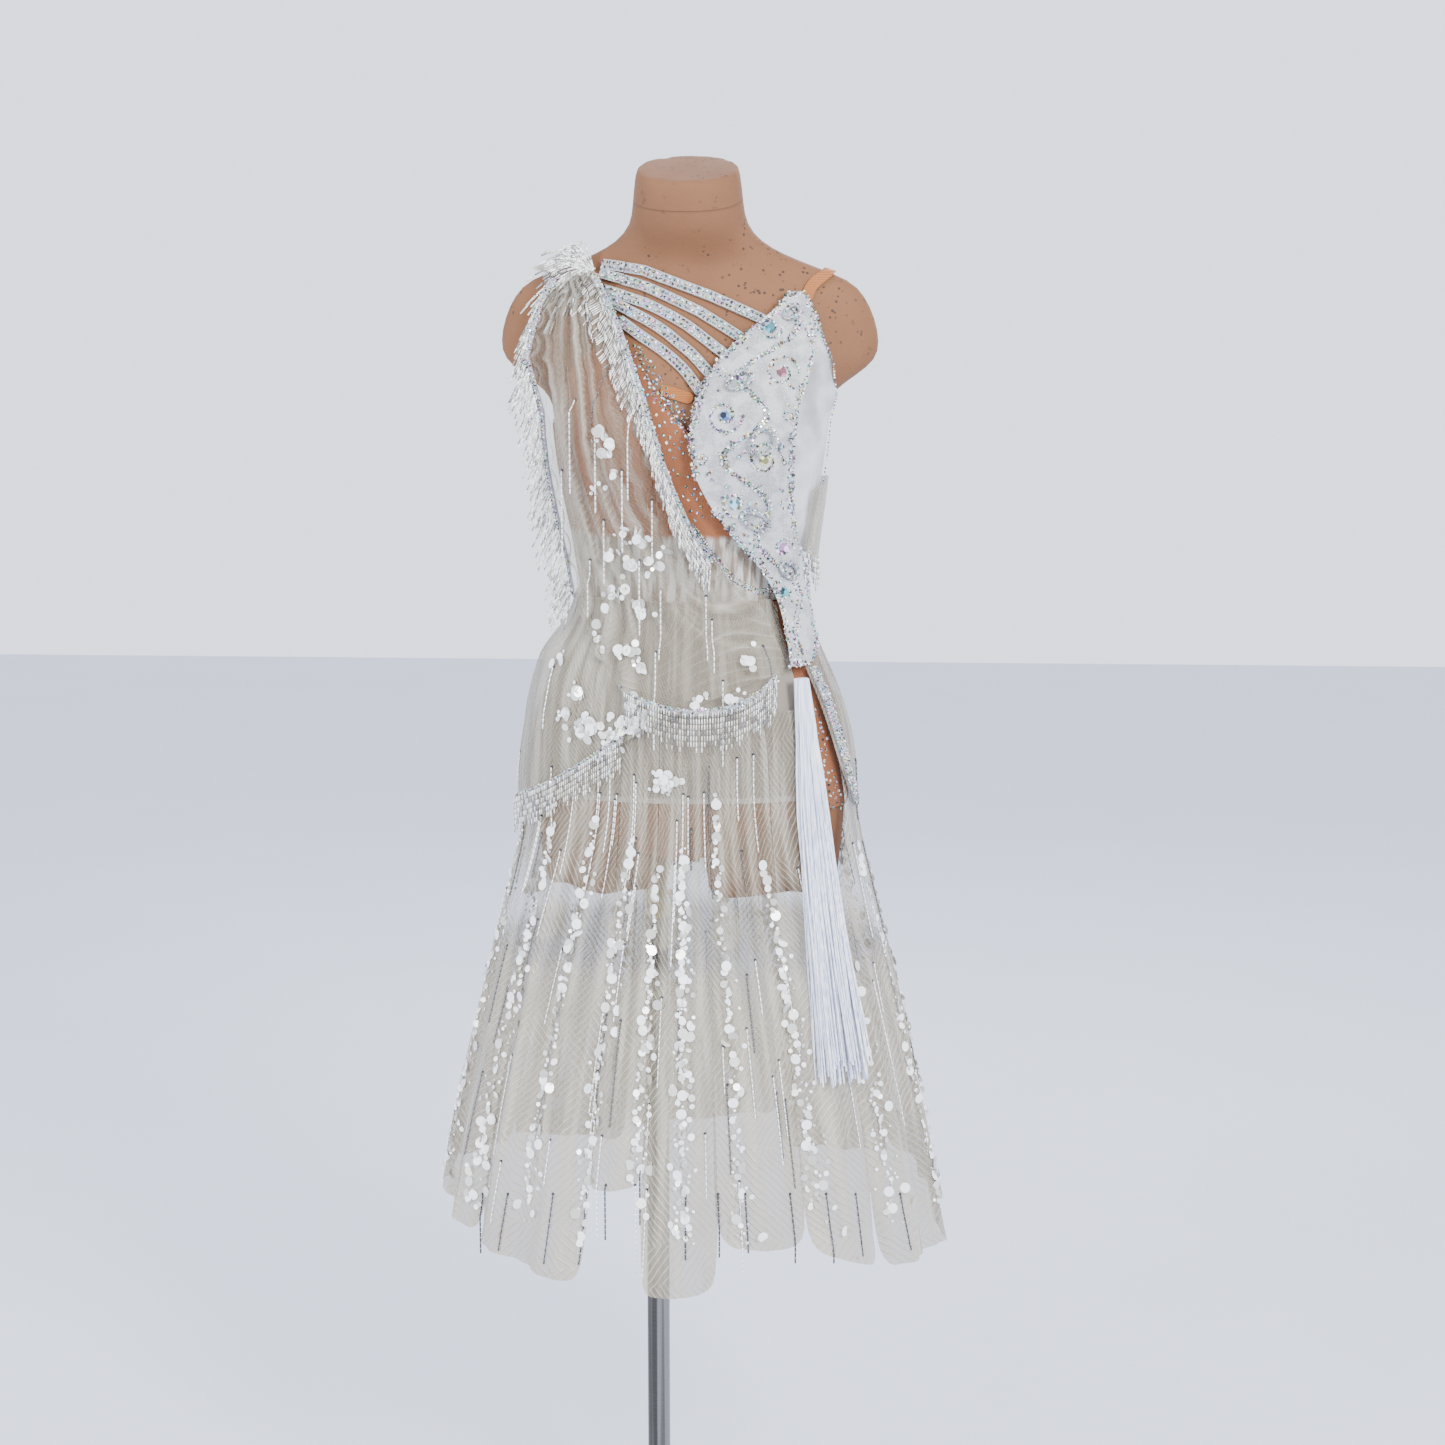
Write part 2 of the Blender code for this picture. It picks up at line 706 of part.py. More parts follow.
class Sheet:
    """A cloth panel: rows of points on its inner face, and the way out at each of them."""

    def __init__(self, rows):
        self.rows = rows
        shape = bmesh.new()
        grid = loft(shape, rows)
        shape.normal_update()
        self.outs = [[vertex.normal.copy() for vertex in row] for row in grid]
        shape.free()

    def at(self, row, column, lift):
        """A point moved out from the panel, at a row and column that may be fractions."""
        r = min(int(row), len(self.rows) - 2)
        c = min(int(column), len(self.rows[0]) - 2)
        corners = [
            [self.rows[i][k] + self.outs[i][k] * lift for k in (c, c + 1)] for i in (r, r + 1)
        ]
        upper, lower = (pair[0].lerp(pair[1], column - c) for pair in corners)
        return upper.lerp(lower, row - r)

    def column_step(self, row, column):
        """The length of one column step there."""
        return (self.at(row, column + 0.5, 0) - self.at(row, column - 0.5, 0)).length

    def row_step(self, row, column):
        """The length of one row step there."""
        return (self.at(row + 0.5, column, 0) - self.at(row - 0.5, column, 0)).length

    def columns_in(self, row, distance, side):
        """The column at a distance in from the first (0) or last (1) edge of a row."""
        points = self.rows[row][::-1] if side else self.rows[row]
        index = 0
        left = distance
        while left > (points[index + 1] - points[index]).length:
            left -= (points[index + 1] - points[index]).length
            index += 1
        column = index + left / (points[index + 1] - points[index]).length
        return len(points) - 1 - column if side else column


def cloth(name, rows, thickness, finish):
    """A wall of cloth: an open sheet through rows of points, thickened outwards."""
    shape = bmesh.new()
    loft(shape, rows)
    made = add_object(name, mesh_from(shape, name), finish)
    wall = made.modifiers.new("Wall", "SOLIDIFY")
    wall.thickness = thickness * MM
    wall.offset = 1.0
    return made


def panel_turns(table, step=PANEL_STEP):
    """Evenly spaced turns across a panel, a hair short of its seams at both ends."""
    start, end = table[0].turn, table[-1].turn
    turns = spread(start, end, round((end - start) / step) + 1)
    turns[0] += SEAM_TURN
    turns[-1] -= SEAM_TURN
    return turns


def panel_by_turn(table, surface, rows, step=PANEL_STEP):
    """Rows of points between a panel's upper and lower edge."""
    edges = [(t, read(table, "high", t), read(table, "low", t)) for t in panel_turns(table, step)]
    return [
        [surface(turn, high + (low - high) * v) for turn, high, low in edges]
        for v in spread(0, 1, rows)
    ]


def panel_between(surface, columns, rows):
    """Rows of points of a panel that runs between two edges, a hair below its top seam."""
    alongs = spread(0, 1, rows)
    alongs[0] = TOP_SEAM_SHARE
    return [[surface(v, u) for u in spread(0, 1, columns)] for v in alongs]


def smooth_path(points, count):
    """Evenly numbered points on a smooth curve through a few turn and height pairs."""
    table = tuple(Knot(i, *point) for i, point in enumerate(points))
    steps = spread(0, len(points) - 1, count)
    return [(read(table, "turn", s), read(table, "height", s)) for s in steps]


def band(name, path, width, thickness, finish, lift):
    """A flat strip that follows a path of turns and heights on the form."""
    points = [skin(turn, height, lift) for turn, height in path]
    rows = []
    for i, (turn, height) in enumerate(path):
        along = points[min(i + 1, len(path) - 1)] - points[max(i - 1, 0)]
        across = outward(turn, height).cross(along).normalized() * width / 2
        rows.append([points[i] - across, points[i] + across])
    return cloth(name, rows, thickness, finish)


def side_trim(name, sheet, side, first, last, width, gap=ON_CLOTH):
    """A trim along a side edge of a sheet, made from the sheet's own rows, moved out."""
    lift = ORGANZA + gap
    rows = []
    for row in range(first, last + 1):
        columns = [sheet.columns_in(row, d, side) for d in (width, width / 2, 0.0)]
        if not side:
            columns.reverse()
        rows.append([sheet.at(row, column, lift) for column in columns])
    return cloth(name, rows, BRAID, "crystal")


def hem_trim(name, sheet, first, last, width):
    """A trim along the lowest row of a sheet, made from the sheet's own columns, moved out."""
    lift = ORGANZA + ON_CLOTH
    bottom = len(sheet.rows) - 1
    upper = []
    lower = []
    for column in range(first, last + 1):
        step = (sheet.rows[bottom][column] - sheet.rows[bottom - 1][column]).length
        upper.append(sheet.at(bottom - width / step, column, lift))
        lower.append(sheet.at(bottom, column, lift))
    return cloth(name, [upper, lower], BRAID, "crystal")


def fringe(name, roots, outs, tips):
    """A comb of strands: a strip through the roots, with a strand at every second stretch."""
    shape = bmesh.new()
    backs = []
    for i, out in enumerate(outs):
        along = roots[min(i + 1, len(roots) - 1)] - roots[max(i - 1, 0)]
        backs.append(along.cross(out).normalized())
    # The strands hang from the strip's other side.
    hanging = sum(back.dot(tip - root) for back, tip, root in zip(backs, tips, roots))
    side = math.copysign(FRINGE_ROOT, -hanging)
    rows = [
        [root + back * side, root, root + out * FRINGE_THICKNESS]
        for root, back, out in zip(roots, backs, outs)
    ]
    grid = [[shape.verts.new(point) for point in row] for row in rows]
    undersides = []
    for i, (first, second) in enumerate(zip(grid, grid[1:])):
        for a, b in ((0, 1), (1, 2), (2, 0)):
            face = shape.faces.new((first[a], first[b], second[b], second[a]))
            if (a, b) == (1, 2) and i % 2:
                undersides.append((face, tips[i]))
    shape.faces.new(grid[0][::-1])
    shape.faces.new(grid[-1])
    for face, tip in undersides:
        root = face.calc_center_median()
        strand = bmesh.ops.extrude_discrete_faces(shape, faces=[face])["faces"][0]
        for vertex in strand.verts:
            vertex.co = tip + (vertex.co - root) * STRAND_TAPER
    face_out(shape)
    add_object(name, mesh_from(shape, name), "bugle")


def fringe_steps(start, end, size):
    """Steps along an edge for the roots of a fringe, two for each strand."""
    return spread(start, end, 2 * size.strands + 1)


def edge_fringe(name, sheet, places, spots, size, hang):
    """A comb over a sheet's trim, at its rows and columns. Spots are the same as turns and heights."""
    lift = ORGANZA + ON_CLOTH + BRAID + size.gap
    roots = [sheet.at(row, column, lift) for row, column in places]
    outs = [sheet.at(row, column, lift + 1) - root for (row, column), root in zip(places, roots)]
    tips = []
    for i, (turn, height) in enumerate(spots):
        length = size.drop * (1.0 - STRAND_STEP * (i // 2 % STRAND_LENGTHS))
        tips.append(hang(turn, height - length, roots[i] - Vector((0, 0, length))))
    fringe(name, roots, outs, tips)


def turned(name, profile, finish, steps):
    """A turned piece about the pole, from its outer profile, top to bottom."""
    shape = bmesh.new()
    points = [shape.verts.new((radius - FORM_MIDDLE_X, 0, height)) for radius, height in profile]
    for a, b in zip(points, points[1:]):
        shape.edges.new((a, b))
    made = add_object(name, mesh_from(shape, name), finish)
    screw = made.modifiers.new("Turn", "SCREW")
    screw.steps = screw.render_steps = steps
    screw.use_merge_vertices = True
    screw.merge_threshold = 0.00005
    return made


def rod(name, radius, top, foot, finish):
    turned(name, [(0, top), (radius, top), (radius, foot), (0, foot)], finish, POLE_STEPS)


def make_stand():
    top = FORM_SECTIONS[0].height - SEAM_GAP
    spigot_foot = top - SPIGOT_LENGTH
    pole_foot = BASE_HEIGHT + SEAM_GAP
    rod("stand_spigot", SPIGOT_RADIUS, top, spigot_foot, "spigot")
    rod("stand_pole", POLE_RADIUS, spigot_foot - SEAM_GAP, pole_foot, "steel")
    hub_bore = POLE_RADIUS + SEAM_GAP
    hub_top = pole_foot + HUB_HEIGHT
    hub = [
        (hub_bore, hub_top),
        (hub_bore + STAND_BEVEL, hub_top),
        (HUB_RADIUS, pole_foot + STAND_BEVEL),
        (HUB_RADIUS, pole_foot),
        (hub_bore, pole_foot),
        (hub_bore, hub_top),
    ]
    turned("stand_hub", hub, "base_steel", POLE_STEPS)
    base = [
        (0, BASE_HEIGHT),
        (BASE_RADIUS - 2 * STAND_BEVEL, BASE_HEIGHT),
        (BASE_RADIUS - STAND_BEVEL / 2, BASE_HEIGHT - STAND_BEVEL),
        (BASE_RADIUS, BASE_HEIGHT / 2),
        (BASE_RADIUS, 0),
        (0, 0),
    ]
    turned("stand_base", base, "base_steel", BASE_STEPS)


def form_heights():
    """Row heights of the form, closer where its sections change fast."""
    heights = []
    for low, high in zip(FORM_SECTIONS, FORM_SECTIONS[1:]):
        close = FORM_CLOSE_ROWS[0] <= low.height < FORM_CLOSE_ROWS[1]
        count = math.ceil((high.height - low.height) / FORM_ROW_STEP) if close else 1
        heights += [low.height + (high.height - low.height) * i / count for i in range(count)]
    return [*heights, FORM_SECTIONS[-1].height][::-1]


def crotch_cutter():
    """A round-topped slot from front to back that parts the two thigh stubs."""
    shape = bmesh.new()
    middle = CROTCH_HEIGHT - CROTCH_HALF_WIDTH
    arch = [
        (CROTCH_HALF_WIDTH * math.cos(a), middle + CROTCH_HALF_WIDTH * math.sin(a))
        for a in spread(0, math.pi, CROTCH_ARCH_POINTS)
    ]
    foot = FORM_SECTIONS[0].height - CUTTER_OVERRUN
    outline = [(CROTCH_HALF_WIDTH, foot), *arch, (-CROTCH_HALF_WIDTH, foot)]
    face = shape.faces.new([shape.verts.new((x, -CUTTER_REACH, z)) for x, z in outline])
    moved = bmesh.ops.extrude_face_region(shape, geom=[face], use_keep_orig=True)["geom"]
    verts = [item for item in moved if isinstance(item, bmesh.types.BMVert)]
    bmesh.ops.translate(shape, verts=verts, vec=(0, 2 * CUTTER_REACH, 0))
    face_out(shape)
    cutter = add_object("crotch_cutter", mesh_from(shape, "crotch_cutter"), "form_skin", "cutters")
    cutter.hide_render = True
    cutter.display_type = "WIRE"
    return cutter


def make_form():
    shape = bmesh.new()
    turns = [360 * i / FORM_COLUMNS - 180 for i in range(FORM_COLUMNS)]
    heights = form_heights()
    neck = FORM_SECTIONS[-1]
    middle = Vector((0, neck.lean, neck.height))
    rise = Vector((0, 0, NECK_RIM / 2))
    inset = 1 - NECK_RIM / neck.half_width
    cap = [middle + (form_point(t, neck.height) - middle) * inset + rise for t in turns]
    grid = loft(shape, [cap] + [[form_point(t, h) for t in turns] for h in heights], closed=True)
    shape.faces.new(grid[0])
    shape.faces.new(grid[-1][::-1])
    face_out(shape)
    made = add_object("dress_form", mesh_from(shape, "dress_form"), "form_skin")
    cut = made.modifiers.new("Crotch", "BOOLEAN")
    cut.operation = "DIFFERENCE"
    cut.object = crotch_cutter()


def on_form(lift):
    return lambda turn, height: skin(turn, height, lift)


def bodice_surface(turn, height):
    return skin(turn, height, BODICE_LIFT + chest_ease(turn, height))


def bodice_rows():
    """Rows at the form's own row heights, drawn in under the panel's top edge where they pass it."""
    low = BODICE_FRONT[0].low
    top = max(edge.high for edge in BODICE_FRONT)
    levels = [top, *(h for h in form_heights() if low < h < top), low]
    edges = [(turn, read(BODICE_FRONT, "high", turn)) for turn in panel_turns(BODICE_FRONT)]
    return [
        [bodice_surface(turn, min(level, high - i * EDGE_ROW)) for turn, high in edges]
        for i, level in enumerate(levels)
    ]


def make_bodysuit():
    suit = on_form(SUIT_LIFT)
    cloth("bodice_mesh", bodice_rows(), POWER_MESH, "nude_mesh")
    brief_front = panel_by_turn(BRIEF_FRONT, suit, BRIEF_FRONT_ROWS)
    brief_back = panel_by_turn(BRIEF_BACK, suit, BRIEF_BACK_ROWS)
    cloth("brief_front", brief_front, POWER_MESH, "nude_mesh")
    cloth("brief_back", brief_back, POWER_MESH, "nude_mesh")
    foot = CROTCH_HEIGHT - GUSSET_BELOW_CROTCH
    front, back = (form_point(turn, foot).y for turn in (-90, 90))
    half = CROTCH_HALF_WIDTH - GUSSET_INSET
    reach = SUIT_LIFT - GUSSET_END_GAP
    stations = spread(front - reach, back + reach, GUSSET_ROWS)
    rows = [[Vector((x, y, foot)) for x in (half, -half)] for y in stations]
    cloth("brief_gusset", rows, POWER_MESH, "nude_mesh")
    under_bust = smooth_path(BRA_BAND, BRA_BAND_POINTS)
    band("bra_band", under_bust, BRA_BAND_WIDTH, ELASTIC, "nude_elastic", STRAP_LIFT)
    over_shoulder = smooth_path(TAN_STRAP, TAN_STRAP_POINTS)
    band("tan_strap", over_shoulder, TAN_STRAP_WIDTH, ELASTIC, "nude_elastic", STRAP_LIFT)


def yoke_back_rows():
    """Rows from the open slit round the left side and the back."""
    rows = []
    from_side = spread(0, 180 - SEAM_TURN, round(180 / PANEL_STEP) + 1)
    for height in spread(YOKE_BACK_TOP, YOKE_BACK_HEM, YOKE_BACK_ROWS):
        start = read(SLIT_EDGES, "turn", height)
        turns = [*spread(start, 0, YOKE_BACK_SLIT_COLUMNS)[:-1], *from_side]
        rows.append([hip_cloth(turn, height, 0.0) for turn in turns])
    return rows


def make_lining_and_yoke():
    def over(turn, height):
        return hip_cloth(turn, height, 0.0)

    lining = panel_by_turn(LINING_FRONT, on_form(LINING_LIFT), LINING_ROWS)
    cloth("lining_front", lining, ORGANZA, "lining")
    front = Sheet(panel_by_turn(YOKE_FRONT, over, YOKE_ROWS))
    back = Sheet(yoke_back_rows())
    cloth("yoke_front", front.rows, ORGANZA, "organza")
    cloth("yoke_back", back.rows, ORGANZA, "organza")
    hem_trim("yoke_trim", front, 0, YOKE_TRIM_END, TRIM_WIDTH)
    last = YOKE_BACK_ROWS - 1
    side_trim("slit_trim", back, 0, SLIT_TRIM_FIRST_ROW, last, SLIT_TRIM_WIDTH, ON_CURVED_CLOTH)
    turns = panel_turns(YOKE_FRONT)
    places = []
    spots = []
    ends = (FRINGE_END_INSET, YOKE_TRIM_END - FRINGE_END_INSET)
    for column in fringe_steps(*ends, YOKE_FRINGE):
        c = int(column)
        turn = turns[c] + (turns[c + 1] - turns[c]) * (column - c)
        places.append((YOKE_ROWS - 1, column))
        spots.append((turn, read(YOKE_FRONT, "low", turn)))
    edge_fringe("yoke_fringe", front, places, spots, YOKE_FRINGE, hang_on_skirt)


def gore_start(index, height):
    if index == SLIT_GORE:
        return read(SLIT_EDGES, "turn", height)
    return GORES[index].start


def make_gore(index):
    gore = GORES[index]
    columns = GORE_COLUMNS_A_FOLD * gore.folds + 1
    rows = []
    for v in spread(0, 1, SKIRT_ROWS):
        row = []
        for u in spread(0, 1, columns):
            hem = gore.hem_start + (gore.hem_end - gore.hem_start) * u
            height = SKIRT_TOP + (hem - SKIRT_TOP) * v**SKIRT_ROW_CROWDING
            gap = turn_of(GORE_EDGE_GAP, height)
            start = gore_start(index, height) + gap
            turn = start + (gore.end - gap - start) * u
            fold = 0.5 - 0.5 * math.cos(2 * math.pi * gore.folds * u)
            row.append(skirt(turn, height, fold))
        rows.append(row)
    cloth(f"skirt_gore_{index + 1}", rows, ORGANZA, "organza")


def hang_on_cowl(turn, height, _below):
    """A strand's tip on the cowl, clear of the folds under it."""
    lift = cowl_ease(turn, height) + COWL_FOLD_DEPTH + ORGANZA + STRAND_CLEARANCE
    return skin(turn, height, lift)


def level_out(turn, height):
    """The level direction out of the form."""
    out = outward(turn, height)
    out.z = 0
    return out.normalized()


def pushed_out(below, clear, out):
    """The place below, or further out where the clear place is."""
    return below + out * max(0.0, (clear - below).dot(out))


def hang_by_arm(turn, height, below):
    """A strand's tip beside the cowl's steep arm edge. It swings away from the cloth as it falls."""
    out = level_out(turn, height)
    away = Vector((out.y, -out.x, 0))
    lift = cowl_ease(turn, height) + COWL_ARM_EDGE_OUT + 3 * BRAID + STRAND_CLEARANCE
    return pushed_out(below + away * ARM_SWING, skin(turn, height, lift), out)


def hang_on_skirt(turn, height, below):
    """A strand's tip on the skirt: straight down, or further out where the skirt's folds are."""
    clear = skirt(turn, height, 1.0, ORGANZA + STRAND_CLEARANCE)
    return pushed_out(below, clear, level_out(turn, height))


def make_cowl():
    sheet = Sheet(panel_between(cowl, COWL_COLUMNS, COWL_ROWS))
    cloth("cowl_drape", sheet.rows, ORGANZA, "organza")
    last_row = COWL_ROWS - 1
    last_column = COWL_COLUMNS - 1
    side_trim("cowl_neck_trim", sheet, 1, *NECK_TRIM_ROWS, TRIM_WIDTH)
    side_trim("cowl_arm_trim", sheet, 0, *ARM_TRIM_ROWS, TRIM_WIDTH, ON_CURVED_CLOTH)
    hem_trim("cowl_hem_trim", sheet, *HEM_TRIM_COLUMNS, TRIM_WIDTH)
    neck_rows = fringe_steps(NECK_FRINGE_FROM, NECK_TRIM_ROWS[1] - FRINGE_END_INSET, NECK_FRINGE)
    arm_rows = fringe_steps(ARM_FRINGE_FROM, ARM_TRIM_ROWS[1] - FRINGE_END_INSET, ARM_FRINGE)
    first, last = HEM_TRIM_COLUMNS
    hem_columns = fringe_steps(first + FRINGE_END_INSET, last - FRINGE_END_INSET, HEM_FRINGE)
    neck = [(row, last_column - FRINGE_EDGE_INSET) for row in neck_rows]
    arm = [(row, FRINGE_EDGE_INSET) for row in arm_rows]
    hem = [(last_row, column) for column in hem_columns]
    for name, places, size, hang in (
        ("neck_fringe", neck, NECK_FRINGE, hang_on_cowl),
        ("arm_fringe", arm, ARM_FRINGE, hang_by_arm),
        ("hem_fringe", hem, HEM_FRINGE, hang_on_cowl),
    ):
        spots = [cowl_place(row / last_row, column / last_column) for row, column in places]
        edge_fringe(name, sheet, places, spots, size, hang)


def flutter(turn, height):
    """The loose flap at the left side, waved and standing out more towards its hem."""
    wave = FLUTTER_WAVE * math.sin(math.radians(turn * FLUTTER_WAVES_A_TURN))
    top = max(edge.high for edge in FLUTTER)
    return skin(turn, height, FLUTTER_LIFT + wave + FLUTTER_FLARE * (top - height))


def make_bodice():
    cloth("cup_left", panel_between(cup, CUP_COLUMNS, CUP_ROWS), ORGANZA, "satin")
    back = panel_by_turn(BACK_PANEL, on_form(BACK_LIFT), BACK_PANEL_ROWS)
    cloth("back_panel", back, ORGANZA, "organza")
    shoulder = panel_between(shoulder_back, SHOULDER_COLUMNS, SHOULDER_ROWS)
    cloth("shoulder_back", shoulder, ORGANZA, "organza")
    flap = panel_by_turn(FLUTTER, flutter, FLUTTER_ROWS, FLUTTER_STEP)
    cloth("side_flutter", flap, ORGANZA, "organza")
    for number, strap in enumerate(CRYSTAL_STRAPS, 1):
        path = smooth_path(strap.path, CRYSTAL_STRAP_POINTS)
        band(f"crystal_strap_{number}", path, STRAP_WIDTH, BRAID, "crystal", strap.lift)
    base = Sheet(panel_between(applique, APPLIQUE_COLUMNS, APPLIQUE_ROWS))
    cloth("applique_base", base.rows, BRAID, "satin")
    for number, ring in enumerate(SCROLL_RINGS, 1):
        make_scroll(number, ring, base)


def make_scroll(number, ring, base):
    """A round cord ring that lies on the applique and follows its curve."""
    lift = BRAID + SCROLL_THICKNESS * math.cos(math.pi / 6) + ring.gap
    name = f"scroll_ring_{number}"
    curve = bpy.data.curves.new(name, "CURVE")
    curve.dimensions = "3D"
    curve.bevel_depth = SCROLL_THICKNESS * MM
    curve.bevel_resolution = 1
    line = curve.splines.new("POLY")
    line.points.add(SCROLL_POINTS - 1)
    across = base.column_step(ring.row, ring.column)
    down = base.row_step(ring.row, ring.column)
    for i, point in enumerate(line.points):
        angle = 2 * math.pi * i / SCROLL_POINTS
        row = ring.row + ring.radius * math.sin(angle) / down
        column = ring.column + ring.radius * math.cos(angle) / across
        place = base.at(row, column, lift)
        point.co = (*((place + Vector((FORM_MIDDLE_X, 0, 0))) * MM), 1.0)
    line.use_cyclic_u = True
    curve.materials.append(material("crystal"))
    made = bpy.data.objects.new(name, curve)
    collection("ballroom_dress").objects.link(made)


def tassel_point(across, deep, share):
    """Across is from -1 to 1, deep from 0 at the skirt to 1, and share from the tassel's top to its end."""
    height = TASSEL_TOP + (TASSEL_END - TASSEL_TOP) * share
    turn = TASSEL_TURN + TASSEL_SWING * ease(share, 0, 1)
    half_width = TASSEL_HALF_WIDTH + TASSEL_SPREAD * share**TASSEL_SPREAD_POWER
    depth = TASSEL_DEPTH + TASSEL_SPREAD / 2 * share
    on_hip = hip_cloth(turn, max(height, HIP_CLOTH_FOOT), TASSEL_OUT_ON_HIP)
    on_skirt = skirt(turn, height, 1.0, TASSEL_OUT)
    place = on_hip.lerp(on_skirt, ease(height, *TASSEL_OFF_HIP))
    out = Vector((place.x * TASSEL_FACING, place.y, 0)).normalized()
    side = Vector((-out.y, out.x, 0))
    point = place + side * across * half_width + out * deep * depth
    point.z = height
    return point, side, out


def make_locks():
    """The tassel's locks: slim four-sided strands that spread as they hang."""
    shape = bmesh.new()
    corners = ((-1, -1), (1, -1), (1, 1), (-1, 1))
    for i, across in enumerate(spread(-LOCK_REACH, LOCK_REACH, TASSEL_ACROSS)):
        for j, deep in enumerate(spread(0.0, 1.0, TASSEL_DEEP)):
            step = (3 * i + 5 * j) % (LOCK_END_STEPS + 1)
            end = 1.0 - LOCK_END_RANGE * step / LOCK_END_STEPS
            rings = []
            for share in LOCK_SHARES:
                middle, side, out = tassel_point(across, deep, share * end)
                wide = side * (LOCK_HALF_WIDTH + LOCK_SPREAD * share)
                thick = out * (LOCK_HALF_WIDTH + LOCK_SPREAD * share) / 2
                rings.append([middle + a * wide + b * thick for a, b in corners])
            grid = loft(shape, rings, closed=True)
            shape.faces.new(grid[0])
            shape.faces.new(grid[-1][::-1])
    face_out(shape)
    locks = add_object("tassel_locks", mesh_from(shape, "tassel_locks"), "fringe_silk", "cutters")
    locks.hide_render = True
    locks.display_type = "WIRE"
    return locks


def make_tassel():
    head = bmesh.new()
    bmesh.ops.create_cone(
        head, cap_ends=True, segments=16, radius1=TASSEL_HEAD_RADIUS, radius2=TASSEL_HEAD_RADIUS / 2,
        depth=TASSEL_HEAD_HEIGHT,
    )
    middle, side, out = tassel_point(0.0, 0.5, 0.0)
    for vertex in head.verts:
        x, y, z = vertex.co
        rise = Vector((0, 0, z + TASSEL_HEAD_HEIGHT / 5))
        vertex.co = middle + side * x + out * y * TASSEL_HEAD_FLATNESS + rise
    face_out(head)
    made = add_object("tassel", mesh_from(head, "tassel"), "fringe_silk")
    join = made.modifiers.new("Locks", "BOOLEAN")
    join.operation = "UNION"
    join.object = make_locks()


def main():
    clear_scene()
    make_stand()
    make_form()
    make_bodysuit()
    make_lining_and_yoke()
    for index in range(len(GORES)):
        make_gore(index)
    make_cowl()
    make_bodice()
    make_tassel()


main()
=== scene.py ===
# %% [markdown]
# # A ballroom competition dress, seen close
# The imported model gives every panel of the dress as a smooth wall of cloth. This lesson dresses it:
# each wall becomes a thin sheet with its own cloth, and stones, sequins and beads are sewn on top.
# %% Load the frame
import math
import random

import bmesh
import bpy
from mathutils import Matrix, Vector
from mathutils.bvhtree import BVHTree


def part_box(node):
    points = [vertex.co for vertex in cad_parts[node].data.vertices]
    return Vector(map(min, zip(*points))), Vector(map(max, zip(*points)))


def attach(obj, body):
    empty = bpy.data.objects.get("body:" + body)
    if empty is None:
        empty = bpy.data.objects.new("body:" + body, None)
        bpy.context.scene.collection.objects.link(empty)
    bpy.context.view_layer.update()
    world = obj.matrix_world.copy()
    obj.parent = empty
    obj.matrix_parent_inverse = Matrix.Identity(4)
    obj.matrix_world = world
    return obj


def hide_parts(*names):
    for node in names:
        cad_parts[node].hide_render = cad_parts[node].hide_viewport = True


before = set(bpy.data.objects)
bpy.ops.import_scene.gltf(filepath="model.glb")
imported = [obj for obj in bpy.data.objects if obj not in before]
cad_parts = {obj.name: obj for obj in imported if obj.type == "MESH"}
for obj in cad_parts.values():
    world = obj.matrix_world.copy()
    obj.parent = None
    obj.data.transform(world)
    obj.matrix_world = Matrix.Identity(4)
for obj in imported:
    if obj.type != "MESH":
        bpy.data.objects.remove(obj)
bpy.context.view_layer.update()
print("nodes in the frame:", len(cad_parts))

# %% [markdown]
# The camera comes first, because stones and scrolls are placed where the camera sees them. It stands
# a little to the wearer's left, at the neck's height, and looks slightly down. A small helper puts
# a new object into the scene.
# %% Camera
MIDDLE = Vector((0.037, 0.0, 0.0))
IMAGE_SIZE = 1445
FOCAL_PIXELS = 2662.0


def linked(name, data):
    """A new object in the scene."""
    made = bpy.data.objects.new(name, data)
    bpy.context.scene.collection.objects.link(made)
    return made


camera_data = bpy.data.cameras.new("Camera")
camera = linked("Camera", camera_data)
camera.location = (0.218, -2.794, 1.5)
camera.rotation_euler = (math.radians(79.0), 0.0, math.radians(3.0))
camera_data.sensor_width = 36.0
camera_data.lens = 36.0 * FOCAL_PIXELS / IMAGE_SIZE
bpy.context.scene.camera = camera
bpy.context.view_layer.update()
print("lens:", round(camera_data.lens, 1), "mm")


